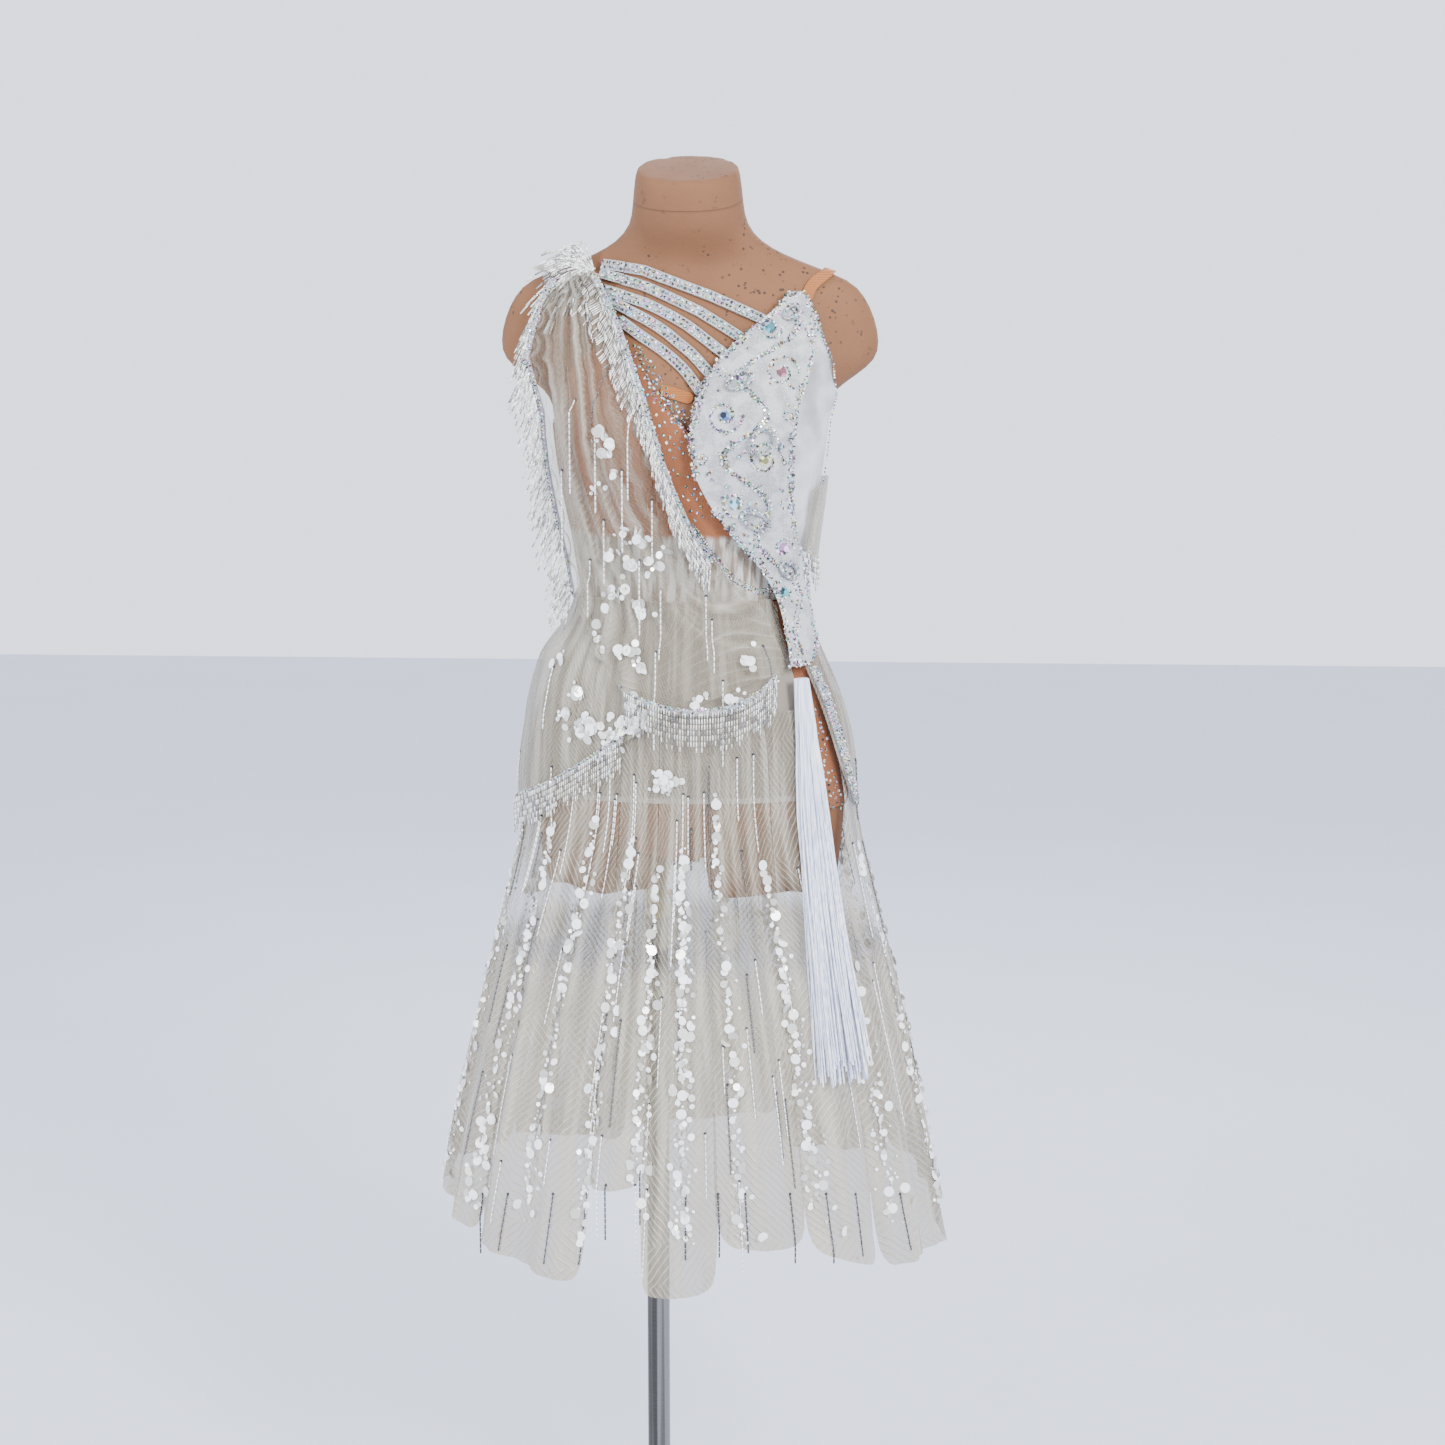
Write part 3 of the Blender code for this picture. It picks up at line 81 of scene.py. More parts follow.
# %% [markdown]
# Materials are sums: a weave, a stain and a fold are added and multiplied. A small class lets those
# sums be written as Python does, and one method adds any node.
# %% Material helpers
class Wire:
    """One output of a finish's nodes, with arithmetic written as in Python."""

    def __init__(self, finish, socket):
        self.finish = finish
        self.socket = socket

    def math(self, operation, *values):
        inputs = dict(enumerate((self, *values)))
        return self.finish.node("ShaderNodeMath", {"operation": operation}, inputs)

    def __add__(self, other):
        return self.math("ADD", other)

    def __mul__(self, other):
        return self.math("MULTIPLY", other)

    def __sub__(self, other):
        return self.math("SUBTRACT", other)

    def __rsub__(self, other):
        return self.math("MULTIPLY", -1.0) + other

    def __truediv__(self, other):
        return self.math("DIVIDE", other)

    def __pow__(self, other):
        return self.math("POWER", other)

    def part(self, index):
        return self.finish.node("ShaderNodeSeparateXYZ", None, {0: self}, out=index)

    def stretched(self, scale, turn=0.0):
        inputs = {"Vector": self, "Scale": scale, "Rotation": (0.0, 0.0, turn)}
        return self.finish.node("ShaderNodeMapping", None, inputs)

    def noise(self, scale, detail=2.0):
        inputs = {"Vector": self, "Scale": scale, "Detail": detail}
        return self.finish.node("ShaderNodeTexNoise", None, inputs)

    def cells(self, scale, feature="F1"):
        inputs = {"Vector": self, "Scale": scale}
        return self.finish.node("ShaderNodeTexVoronoi", {"feature": feature}, inputs)

    def rise(self, low, high):
        """0 below low and 1 above high, smooth between."""
        inputs = {0: self, 1: low, 2: high, 3: 0.0, 4: 1.0}
        return self.finish.node("ShaderNodeMapRange", {"interpolation_type": "SMOOTHSTEP"}, inputs)


class Finish:
    """A material, and the method that adds any node to it."""

    def __init__(self, name, **fixed):
        self.material = bpy.data.materials.new(name)
        self.material.use_nodes = True
        self.tree = self.material.node_tree
        self.shader = self.tree.nodes["Principled BSDF"]
        for key, value in fixed.items():
            self.shader.inputs[key.replace("_", " ")].default_value = value

    def node(self, kind, settings=None, inputs=None, out=0):
        made = self.tree.nodes.new(kind)
        for key, value in (settings or {}).items():
            setattr(made, key, value)
        for key, value in (inputs or {}).items():
            self.join(value, made.inputs[key])
        return Wire(self, made.outputs[out])

    def join(self, value, socket):
        if isinstance(value, Wire):
            self.tree.links.new(value.socket, socket)
        else:
            socket.default_value = value

    def put(self, key, value):
        self.join(value, self.shader.inputs[key])
        return self

    def place(self):
        return self.node("ShaderNodeTexCoord", out=3)

    def along(self):
        return self.node("ShaderNodeUVMap", {"uv_map": "Cloth"})

    def tint_and_glints(self):
        """The tint that each stone or bead has on its own faces, with painted glints on a cut stone's
        facets.
        """
        return self.node("ShaderNodeAttribute", {"attribute_name": "tint_and_glints"})

    def blend(self, factor, first, second):
        first, second = (c if isinstance(c, Wire) else (*c, 1.0) for c in (first, second))
        inputs = {0: factor, 6: first, 7: second}
        return self.node("ShaderNodeMix", {"data_type": "RGBA"}, inputs, out=2)

    def paint(self, factor, first, second):
        return self.put("Base Color", self.blend(factor, first, second))

    def bump(self, height, distance):
        inputs = {"Height": height, "Distance": distance, "Strength": 1.0}
        return self.put("Normal", self.node("ShaderNodeBump", None, inputs))


print("helpers ready")

# %% [markdown]
# The form under the dress is covered in brown knit that has been handled a lot: it has fine dark
# specks, a few scuffs and paler worn patches. Its neck has a seam under the cap.
# %% Form and stand finishes
form_skin = Finish("form_skin", Roughness=0.8)
place = form_skin.place()
tone = place.noise(9.0, 4.0)
base = form_skin.blend(tone, (0.115, 0.042, 0.014), (0.215, 0.092, 0.036))
dots = 1.0 - place.cells(165.0).rise(0.20, 0.32)
crowd = place.noise(13.0, 2.0).rise(0.48, 0.58)
some = place.noise(60.0, 1.0).rise(0.46, 0.54)
scuffs = place.noise(90.0, 3.0).rise(0.66, 0.72)
marks = (dots * crowd * some + scuffs * 0.35).math("MINIMUM", 1.0)
seam_height = place.part(2) - place.part(1) * 0.28
seam = 1.0 - ((seam_height - 1.511).math("ABSOLUTE")).rise(0.0006, 0.0018)
base = form_skin.blend(marks * 0.85, base, (0.022, 0.011, 0.007))
form_skin.paint(seam * 0.22, base, (0.04, 0.02, 0.012))
knit = place.stretched((1.0, 1.0, 0.5)).noise(900.0, 1.0)
form_skin.bump(knit * 0.4 + tone * 1.5 - seam * 0.8, 0.0008)

pole_steel = Finish("pole_steel", Metallic=1.0, Anisotropic=0.5)
grain = pole_steel.place().stretched((1.0, 1.0, 40.0)).noise(60.0, 3.0)
# Pale vertical streaks in the base colour are painted highlights, long reflections down the pole, mixed
# with a little real grain.
painted_highlight_streaks = pole_steel.place().stretched((1.0, 1.0, 0.01)).noise(130.0, 2.0)
grain_and_painted_highlights = painted_highlight_streaks.rise(0.38, 0.62) * 0.8 + grain * 0.2
pole_steel.paint(grain_and_painted_highlights, (0.045, 0.042, 0.038), (0.24, 0.235, 0.225))
pole_steel.put("Roughness", grain.rise(0.2, 0.9) * 0.15 + 0.24)
pole_steel.bump(grain, 0.00005)

base_paint = Finish("base_paint", Metallic=0.6)
grit = base_paint.place().noise(800.0, 2.0)
worn = base_paint.place().noise(14.0, 4.0)
base_paint.paint(worn, (0.10, 0.10, 0.10), (0.18, 0.18, 0.18))
base_paint.put("Roughness", worn * 0.2 + 0.35)
base_paint.bump(grit, 0.0001)

spigot_wood = Finish("spigot_beige", Roughness=0.6)
streaks = spigot_wood.place().stretched((1.0, 1.0, 0.1)).noise(300.0, 3.0)
spigot_wood.paint(streaks, (0.26, 0.19, 0.06), (0.36, 0.28, 0.12))
print("form and stand finishes:", form_skin.material.name, pole_steel.material.name)

# %% [markdown]
# Organza is a sheer plain weave. Here it is crinkled and pintucked: fine pale lines run slantwise across
# each gore, and the cloth is milkier where it gathers. The gathers' ridges also get a painted highlight,
# and the valleys between them get painted shade. Its see-through share is an Alpha.
# %% Organza finishes
# The pale colour is milky cloth and also painted highlight on ridges. The dark colour is thin cloth and
# also painted shade in the valleys.
MILKY_AND_LIT = (0.52, 0.485, 0.395)
SHADY = (0.21, 0.168, 0.105)


def tucks(cloth, spacing, turn, wave):
    """Fine pale lines at a slant, 1 on a line and 0 between two."""
    place = cloth.along().stretched((1.0, 1.0, 1.0), turn)
    across = place.part(0) / spacing + wave * 2.2
    return ((across * (2 * math.pi)).math("SINE") * 0.5 + 0.5) ** 5.0


def organza(name, thin, thick, tuck_share, lengthwise, spacing=0.0042):
    """A sheer cloth. Thin and thick are its cover between gathers and on them."""
    cloth = Finish(name, Roughness=0.5, Sheen_Weight=0.3)
    place = cloth.along()
    cloud = place.noise(14.0, 3.0)
    gather = place.stretched((1.0, lengthwise, 1.0)).noise(62.0, 3.0)
    crinkle = place.stretched((1.0, lengthwise, 1.0)).noise(330.0, 2.0)
    patch = place.noise(11.0, 1.0).rise(0.47, 0.53)
    left = tucks(cloth, spacing, 0.62, cloud)
    right = tucks(cloth, spacing, -0.70, cloud)
    lines = left * patch + right * (1.0 - patch)
    dense = gather.rise(0.38, 0.68)
    low_down = 1.0 - place.part(1).rise(0.70, 0.735)
    band = (1.0 - low_down) * (1.0 - place.part(1).rise(0.79, 0.82))
    bare = band * place.noise(13.0, 1.0).rise(0.42, 0.50)
    cover = dense * (thick - thin) + lines * tuck_share + crinkle * 0.12
    cover = cover + cloud * 0.2 + low_down * 0.22 - bare * 0.30 + (thin - 0.16)
    cloth.put("Alpha", cover.math("MINIMUM", 1.0).math("MAXIMUM", 0.02))
    # Paler on tuck lines, gathers and crinkles: partly milkier cloth, partly a painted highlight on the
    # ridges of gathers and crinkles, with painted shade between.
    pale_and_lit = (lines * 0.5 + dense * 0.5 + crinkle * 0.2).math("MINIMUM", 1.0)
    cloth.paint(pale_and_lit, SHADY, MILKY_AND_LIT)
    cloth.bump(gather * 2.4 + crinkle * 0.7 + lines * 0.5, 0.0020)
    return cloth


skirt_organza = organza("skirt_organza", 0.32, 0.68, 0.34, 0.07, 0.0055)
cowl_organza = organza("cowl_organza", 0.20, 0.72, 0.05, 0.06)
yoke_organza = organza("yoke_organza", 0.48, 0.74, 0.18, 0.10)
print("organza finishes:", len([skirt_organza, cowl_organza, yoke_organza]))

# %% [markdown]
# The other cloths are closer woven: white satin on the cup, a thin ivory lining under the yoke, and
# burnt-orange stretch mesh that passes for skin.
# %% Closer cloths
lining_cloth = Finish("lining_cloth", Roughness=0.7)
weave = lining_cloth.place().noise(500.0, 2.0)
drift = lining_cloth.place().noise(18.0, 3.0)
turned_up = 1.0 - lining_cloth.place().part(2).rise(0.892, 0.895)
plain = lining_cloth.blend(drift, (0.25, 0.22, 0.17), (0.34, 0.31, 0.26))
lining_cloth.paint(turned_up, plain, (0.60, 0.57, 0.50))
lining_cloth.put("Alpha", drift * 0.2 + 0.66)
lining_cloth.bump(weave + turned_up, 0.0003)

satin = Finish("satin", Sheen_Weight=0.3, Coat_Roughness=0.3)
slub = satin.place().stretched((1.0, 1.0, 0.3)).noise(160.0, 3.0)
soft = satin.place().noise(22.0, 3.0)
satin.paint(soft.rise(0.3, 0.7), (0.29, 0.295, 0.305), (0.58, 0.585, 0.59))
satin.put("Roughness", soft * 0.25 + 0.32)
satin.bump(slub + soft * 3.0, 0.0012)

lace = Finish("lace", Roughness=0.6, Sheen_Weight=0.3)
motif = lace.place().noise(60.0, 3.0).rise(0.40, 0.60)
threads = 1.0 - lace.place().cells(620.0, "DISTANCE_TO_EDGE").rise(0.05, 0.25)
ground = lace.blend(motif, (0.27, 0.275, 0.285), (0.47, 0.475, 0.48))
lace.paint(threads * 0.45, ground, (0.60, 0.60, 0.60))
lace.bump(threads * 0.5 + motif, 0.0006)

VEIL_EDGE = 1.172


def skin_mesh(name, veiled):
    """Skin-coloured mesh. The bodice's is covered by crinkled organza below the veil's edge."""
    cloth = Finish(name, Roughness=0.75, Sheen_Weight=0.1)
    place = cloth.place()
    net = place.cells(900.0)
    tan = place.noise(25.0, 3.0)
    base = cloth.blend(tan, (0.15, 0.042, 0.010), (0.27, 0.085, 0.024))
    height = net
    if veiled:
        crinkle = place.stretched((1.0, 1.0, 0.12)).noise(150.0, 3.0)
        wavy = place.part(2) + place.noise(30.0) * 0.02
        veil = 1.0 - wavy.rise(VEIL_EDGE, VEIL_EDGE + 0.008)
        threads = crinkle.rise(0.42, 0.62)
        organza_tone = cloth.blend(threads, (0.20, 0.15, 0.11), (0.52, 0.50, 0.45))
        base = cloth.blend(veil, base, organza_tone)
        height = net + crinkle * veil * 3.0
    cloth.put("Base Color", base)
    cloth.bump(height, 0.0005)
    return cloth


nude_mesh = skin_mesh("nude_mesh", False)
veiled_mesh = skin_mesh("veiled_mesh", True)

nude_elastic = Finish("nude_elastic", Roughness=0.6)
ribs = (nude_elastic.along().part(1) * 2600.0).math("SINE")
nude_elastic.paint(ribs * 0.2 + 0.5, (0.27, 0.080, 0.010), (0.37, 0.120, 0.020))
nude_elastic.bump(ribs, 0.0003)
print("closer cloths ready")

# %% [markdown]
# Stones have a coating that throws back blue, pink and green, so each one gets its own tint, kept as
# an attribute of its faces. Sequins, bugle beads and silk are paler and need less of it.
# %% Stone and bead finishes
stone_glass = Finish("stone_glass", Roughness=0.15, Metallic=0.25, Coat_Weight=0.25)
stone_glass.put("Base Color", stone_glass.tint_and_glints())

sequin_film = Finish("sequin_film", Metallic=0.15, Coat_Weight=0.8, Coat_Roughness=0.08)
sequin_film.put("Base Color", sequin_film.tint_and_glints())
sequin_film.put("Roughness", sequin_film.place().noise(300.0) * 0.2 + 0.12)

bugle_glass = Finish("bugle_glass", Roughness=0.18, Metallic=0.25, Coat_Weight=0.5)
bugle_glass.put("Base Color", bugle_glass.tint_and_glints())

braid_white = Finish("braid_white", Roughness=0.5, Metallic=0.2)
cord_rows = braid_white.place().cells(700.0)
braid_white.paint(cord_rows, (0.22, 0.225, 0.24), (0.44, 0.45, 0.46))
braid_white.bump(cord_rows, 0.0006)

silk = Finish("silk", Roughness=0.55, Sheen_Weight=0.4)
strand_tone = silk.place().stretched((1.0, 1.0, 0.06)).noise(420.0, 2.0)
silk.paint(strand_tone.rise(0.3, 0.7), (0.52, 0.56, 0.74), (0.92, 0.95, 1.0))
silk.bump(strand_tone, 0.0006)
print("stone and bead finishes ready")


# %% [markdown]
# Every cloth wall of the frame is a closed shell. Its outer side alone is wanted here. A face of that
# side has the inner side close behind it, and looks away from the body's middle.
# %% Helpers that read the frame
WALL_LIMIT = 0.0036
SHOULDER_CENTRE = 1.32


def body_way(point):
    """The rough way out of the body at a point."""
    return (point - MIDDLE - Vector((0, 0, min(point.z, SHOULDER_CENTRE)))).normalized()


def copy_of(node):
    shape = bmesh.new()
    shape.from_mesh(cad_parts[node].data)
    bmesh.ops.remove_doubles(shape, verts=shape.verts, dist=0.00002)
    shape.normal_update()
    return shape


def outer_side(node):
    """The outer side of a CAD cloth wall, in quads."""
    shape = copy_of(node)
    tree = BVHTree.FromBMesh(shape)
    rest = []
    for face in shape.faces:
        middle = face.calc_center_median()
        found, normal, _, reach = tree.ray_cast(middle - face.normal * 0.0002, -face.normal)
        thin = found is not None and reach < WALL_LIMIT and normal.dot(face.normal) < -0.5
        if not thin or face.normal.dot(body_way(middle)) < 0:
            rest.append(face)
    bmesh.ops.delete(shape, geom=rest, context="FACES")
    join_quads(shape)
    return shape


def join_quads(shape):
    bmesh.ops.join_triangles(
        shape, faces=shape.faces, angle_face_threshold=1.0, angle_shape_threshold=3.1,
    )


def mesh_of(name, shape):
    mesh = bpy.data.meshes.new(name)
    shape.to_mesh(mesh)
    shape.free()
    return mesh


def drawn_out(data, levels=0):
    """A mesh or curve as Blender shows it, subdivided if levels are given, in a bmesh."""
    draft = linked("draft", data)
    if levels:
        surface = draft.modifiers.new("Round", "SUBSURF")
        surface.levels = surface.render_levels = levels
    done = bmesh.new()
    done.from_mesh(draft.evaluated_get(bpy.context.evaluated_depsgraph_get()).to_mesh())
    bpy.data.objects.remove(draft)
    return done


def rounded(shape, levels):
    """The shape after subdivision."""
    done = drawn_out(mesh_of("draft", shape), levels)
    done.normal_update()
    return done


print("a gore has", len(outer_side("skirt_gore_1").faces), "outer faces")

# %% [markdown]
# A finished piece is linked, painted and tied to the frame's body, and the nodes it stands for are
# hidden. For a sheet of cloth, the size it was cut to is also measured on the smooth sheet, but it is
# not kept.
# %% Helpers that finish a piece
pieces = {}


def finished(name, shape, finish, stands_for=(), smooth=True):
    mesh = mesh_of(name, shape)
    if smooth:
        mesh.shade_smooth()
    mesh.materials.append(finish.material)
    made = linked(name, mesh)
    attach(made, "root")
    if stands_for:
        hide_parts(*stands_for)
    pieces[name] = made
    return made


def boundary(shape):
    """The open edge of a sheet, as points in order round it."""
    edges = [e for e in shape.edges if e.is_boundary]
    if not edges:
        return []
    start = edges[0].verts[0]
    points = [start]
    edge, vert = edges[0], edges[0].verts[1]
    while vert is not start and len(points) < len(edges) + 1:
        points.append(vert)
        edge = next((e for e in vert.link_edges if e.is_boundary and e is not edge), None)
        if edge is None:
            break
        vert = edge.other_vert(vert)
    return [v.co.copy() for v in points]


def length_of(points):
    return sum((b - a).length for a, b in zip(points, points[1:]))


def spaced(points, gap):
    """Points a gap apart along a line."""
    found = []
    left = 0.0
    for a, b in zip(points, points[1:]):
        reach = (b - a).length
        while left < reach:
            found.append(a.lerp(b, left / reach))
            left += gap
        left -= reach
    return found


def sides(shape):
    """The four sides of a sheet, each a list of points, cut at its four sharpest corners."""
    ring = boundary(shape)
    count = len(ring)

    def sharpness(i):
        before = (ring[i] - ring[i - 1]).normalized()
        after = (ring[(i + 1) % count] - ring[i]).normalized()
        return before.angle(after, 0.0)

    corners = sorted(sorted(range(count), key=sharpness)[-4:])
    found = []
    for a, b in zip(corners, corners[1:] + [corners[0] + count]):
        found.append([ring[i % count] for i in range(a, b + 1)])
    return found


def pairs_across(shape):
    """Pairs of points on the two long sides of a narrow sheet."""
    four = sorted(sides(shape), key=length_of)
    return list(zip(four[-1], four[-2][::-1]))


def read_side(node, reader):
    """What a reader such as sides or boundary says of a wall's outer side."""
    shape = outer_side(node)
    found = reader(shape)
    shape.free()
    return found


def mean_height(points):
    return sum(p.z for p in points) / len(points)


def slices(shape, planes):
    """The length and the middle of the line along which each plane cuts a sheet, on its own side."""
    found = []
    for spot, across, ahead in planes:
        part = shape.copy()
        geometry = part.verts[:] + part.edges[:] + part.faces[:]
        cut = bmesh.ops.bisect_plane(part, geom=geometry, dist=1e-7, plane_co=spot, plane_no=across)
        edges = [e for e in cut["geom_cut"] if isinstance(e, bmesh.types.BMEdge)]
        kept = [e for e in edges if (e.verts[0].co - MIDDLE).dot(ahead) >= 0]
        ends = [v.co.copy() for e in kept for v in e.verts]
        if ends:
            found.append((sum(e.calc_length() for e in kept), sum(ends, Vector()) / len(ends)))
        part.free()
    return found


LEVELS = 24


def sliced(shape):
    """A sheet's widest level line, and the longer of its upright line and its leaning middle line."""
    heights = [v.co.z for v in shape.verts]
    low, high = min(heights), max(heights)
    up = Vector((0, 0, 1))
    level = [(Vector((0, 0, low + (high - low) * i / LEVELS)), up, up) for i in range(1, LEVELS)]
    upright = []
    for turn in range(0, 360, 4):
        c, s = math.cos(math.radians(turn)), math.sin(math.radians(turn))
        upright.append((MIDDLE, Vector((-s, c, 0)), Vector((c, s, 0))))
    rows = slices(shape, level)
    # The first and last rows lie one step in from the ends.
    leaning = length_of([middle for _, middle in rows]) * LEVELS / (LEVELS - 2)
    return max(row[0] for row in rows), max([leaning] + [line[0] for line in slices(shape, upright)])


def cut_of(shape):
    """Width, length and area of the flat cut, from the sheet's sides, or else its slices."""
    four = [length_of(side) for side in sides(shape)]
    area = sum(face.calc_area() for face in shape.faces)
    width, length = max(four[0], four[2]), max(four[1], four[3])
    if not 0.45 < area / (width * length) < 1.0:
        width, length = sliced(shape)
    return width, length, area


def turn_from(point, centre_turn):
    """A point's turn about the body, from a centre turn, in radians."""
    turn = math.atan2(point.y, point.x - MIDDLE.x) - centre_turn
    return (turn + math.pi) % (2 * math.pi) - math.pi


def wrap(shape, centre_turn, across):
    """Lays each face's corners on a plane: round the body or across the cloth, and up it."""
    layer = shape.loops.layers.uv.new("Cloth")
    for face in shape.faces:
        for loop in face.loops:
            point = loop.vert.co
            u = across(point) if across else turn_from(point, centre_turn) * 0.2
            loop[layer].uv = (u, point.z)


def turn_edges_out(shape, centre_turn, reach):
    """Turns a panel's points about the body, so that its side edges meet the next panel's."""
    turns = [turn_from(vert.co, centre_turn) for vert in shape.verts]
    half = max(abs(turn) for turn in turns)
    for vert, turn in zip(shape.verts, turns):
        spin = Matrix.Rotation(math.radians(reach) * turn / half, 3, "Z")
        vert.co = MIDDLE + spin @ (vert.co - MIDDLE)


def cloth_piece(
    name, node, finish, levels=2, fold=None, across=None, reach=0.0,
):
    """A thin sheet on the outer side of a CAD wall, with folds pushed along its normals."""
    shape = outer_side(node)
    cut = cut_of(shape)
    shape = rounded(shape, levels)
    middle = sum((v.co for v in shape.verts), Vector()) / len(shape.verts) - MIDDLE
    centre_turn = math.atan2(middle.y, middle.x)
    if reach:
        turn_edges_out(shape, centre_turn, reach)
    if fold:
        moves = [(v, v.normal * fold(v.co)) for v in shape.verts]
        for vert, move in moves:
            vert.co += move
    wrap(shape, centre_turn, across)
    made = finished(name, shape, finish, (node,))
    return made


print("helpers that finish a piece are ready")

# %% [markdown]
# The form is turned and padded, so it is rounded from the solid's own faces. The stand keeps its CAD
# solids, which are already true, and only gets its finishes.
# %% Form and stand
def paint_node(node, finish):
    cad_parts[node].data.materials.clear()
    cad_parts[node].data.materials.append(finish.material)


body = copy_of("dress_form")
join_quads(body)
finished("form_body", rounded(body, 1), form_skin, ("dress_form",))
for node, finish in (
    ("stand_pole", pole_steel),
    ("stand_hub", base_paint),
    ("stand_base", base_paint),
    ("stand_spigot", spigot_wood),
):
    paint_node(node, finish)
print("form faces:", len(pieces["form_body"].data.polygons))

# %% [markdown]
# Under the organza are a mesh bodysuit, two tan straps and a short lining. They lie flat, so they
# need no folds.
# %% Under layers
for node, finish, slot in (
    ("bodice_mesh", veiled_mesh, "nude_mesh"),
    ("brief_front", nude_mesh, "nude_mesh"),
    ("brief_back", nude_mesh, "nude_mesh"),
    ("bra_band", nude_elastic, "nude_elastic"),
    ("tan_strap", nude_elastic, "nude_elastic"),
    ("lining_front", lining_cloth, "lining"),
):
    cloth_piece(f"{node}_cloth", node, finish)
paint_node("brief_gusset", nude_mesh)
print("under layers:", len(pieces) - 1)

# %% [markdown]
# The skirt is twelve gores, each cut as a fan. Their main folds are in the solids. Small ripples are
# added here: they grow towards the hem, where the cloth hangs free.
# %% Skirt
# How far each gore's edges are turned out to meet the next gore's, in degrees.
SEAM_REACH = 0.62
WAIST_OF_SKIRT = 0.985
LONGEST_HEM = 0.39


def skirt_ripple(point):
    down = (WAIST_OF_SKIRT - point.z) / (WAIST_OF_SKIRT - LONGEST_HEM)
    turn = math.atan2(point.y, point.x - MIDDLE.x)
    wave = math.sin(turn * 61 + 2.5 * math.sin(point.z * 9)) + 0.6 * math.sin(turn * 97 + point.z * 31)
    return 0.0016 * max(0.0, down) * wave - 0.0004


for number in range(1, 13):
    cloth_piece(
        f"gore_cloth_{number}", f"skirt_gore_{number}", skirt_organza,
        fold=skirt_ripple, reach=SEAM_REACH,
    )
print("gores:", len([name for name in pieces if name.startswith("gore")]))

# %% [markdown]
# The yoke, back and shoulder are the same organza, laid closer. The cowl hangs in lengthwise folds
# from the shoulder to the far hip, which follow its two edges.
# %% Yoke, back and cowl
def centre_line(node):
    """Points down the middle of a narrow trim."""
    return [(a + b) / 2 for a, b in read_side(node, pairs_across)]


neck_line = centre_line("cowl_neck_trim")
arm_line = centre_line("cowl_arm_trim")


def nearest(points, place):
    return min((point - place).length for point in points)


def cowl_share(point):
    """How far across the cowl a point lies, 0 at the arm's edge and 1 at the neck's."""
    to_arm, to_neck = nearest(arm_line, point), nearest(neck_line, point)
    return to_arm / (to_arm + to_neck)


def cowl_across(point):
    return cowl_share(point) * 0.17


def cowl_fold(point):
    across = cowl_share(point)
    edge = min(1.0, min(nearest(arm_line, point), nearest(neck_line, point)) / 0.02)
    return 0.0022 * edge * (math.sin(across * 62) + 0.5 * math.sin(across * 117 + 1.0))


def cup_fold(point):
    """Soft creases that fan down from the top of the cup."""
    reach = math.hypot(point.x - 0.15, point.z - 1.40)
    turn = math.atan2(point.x - 0.15, 1.40 - point.z)
    return 0.0016 * min(1.0, reach / 0.1) * math.sin(turn * 23 + 2 * math.sin(reach * 40))


def small_ripple(point):
    turn = math.atan2(point.y, point.x - MIDDLE.x)
    return 0.0007 * math.sin(turn * 70 + point.z * 90) - 0.0002


for node, fold, reach in (
    ("yoke_front", small_ripple, 0.0),
    ("yoke_back", small_ripple, 1.6),
    ("back_panel", None, 2.4),
    ("shoulder_back", small_ripple, 0.0),
    ("side_flutter", None, 0.0),
):
    cloth_piece(
        f"{node}_cloth", node, yoke_organza, fold=fold, reach=reach,
    )
# The yoke's top edge is sewn to the bodice, so the hair of a gap at the waist is closed.
WAIST_SEAM = 1.0945
SEAM_LIFT = 0.004
for name in ("yoke_front_cloth", "yoke_back_cloth"):
    for vert in pieces[name].data.vertices:
        if vert.co.z > WAIST_SEAM:
            vert.co.z += SEAM_LIFT
cloth_piece(
    "cowl_cloth", "cowl_drape", cowl_organza, 3, cowl_fold,
    across=cowl_across,
)
cloth_piece("cup_cloth", "cup_left", satin, fold=cup_fold)
cloth_piece("applique_cloth", "applique_base", lace)
print("sheets so far:", len(pieces))


# %% [markdown]
# Stones and beads are placed on the cloth by casting a ray: from the camera for what the picture
# shows, and from outside towards the body's middle for rows that go all the way round.
# %% Helpers that find the cloth
def tree_of(names):
    points, polygons = [], []
    for name in names:
        mesh = pieces[name].data
        start = len(points)
        points += [v.co.copy() for v in mesh.vertices]
        polygons += [tuple(start + i for i in p.vertices) for p in mesh.polygons]
    return BVHTree.FromPolygons(points, polygons)


body_tree = tree_of(list(pieces))
form_tree = tree_of(["form_body"])

camera_spot = camera.matrix_world.translation.copy()
camera_turn = camera.matrix_world.to_3x3()
FAR_OUT = 0.6


def hit(start, way, tree):
    """Where a ray meets the cloth, and the normal there on the ray's own side."""
    point, normal, _, _ = tree.ray_cast(start, way)
    if point is not None and normal.dot(way) > 0:
        normal = -normal
    return point, normal


def seen(across, down, tree=None):
    """The point and normal of the cloth that the camera sees at a place in the picture."""
    middle = IMAGE_SIZE / 2
    way = camera_turn @ Vector(((across - middle) / FOCAL_PIXELS, (middle - down) / FOCAL_PIXELS, -1.0))
    return hit(camera_spot, way.normalized(), tree or body_tree)


def outermost(turn, height):
    """The point and normal of the outermost cloth at a turn about the body and a height."""
    way = Vector((math.cos(math.radians(turn)), math.sin(math.radians(turn)), 0.0))
    return hit(MIDDLE + way * FAR_OUT + Vector((0, 0, height)), -way, body_tree)


print("cloth seen at the skirt's middle:", seen(650, 1000)[0])

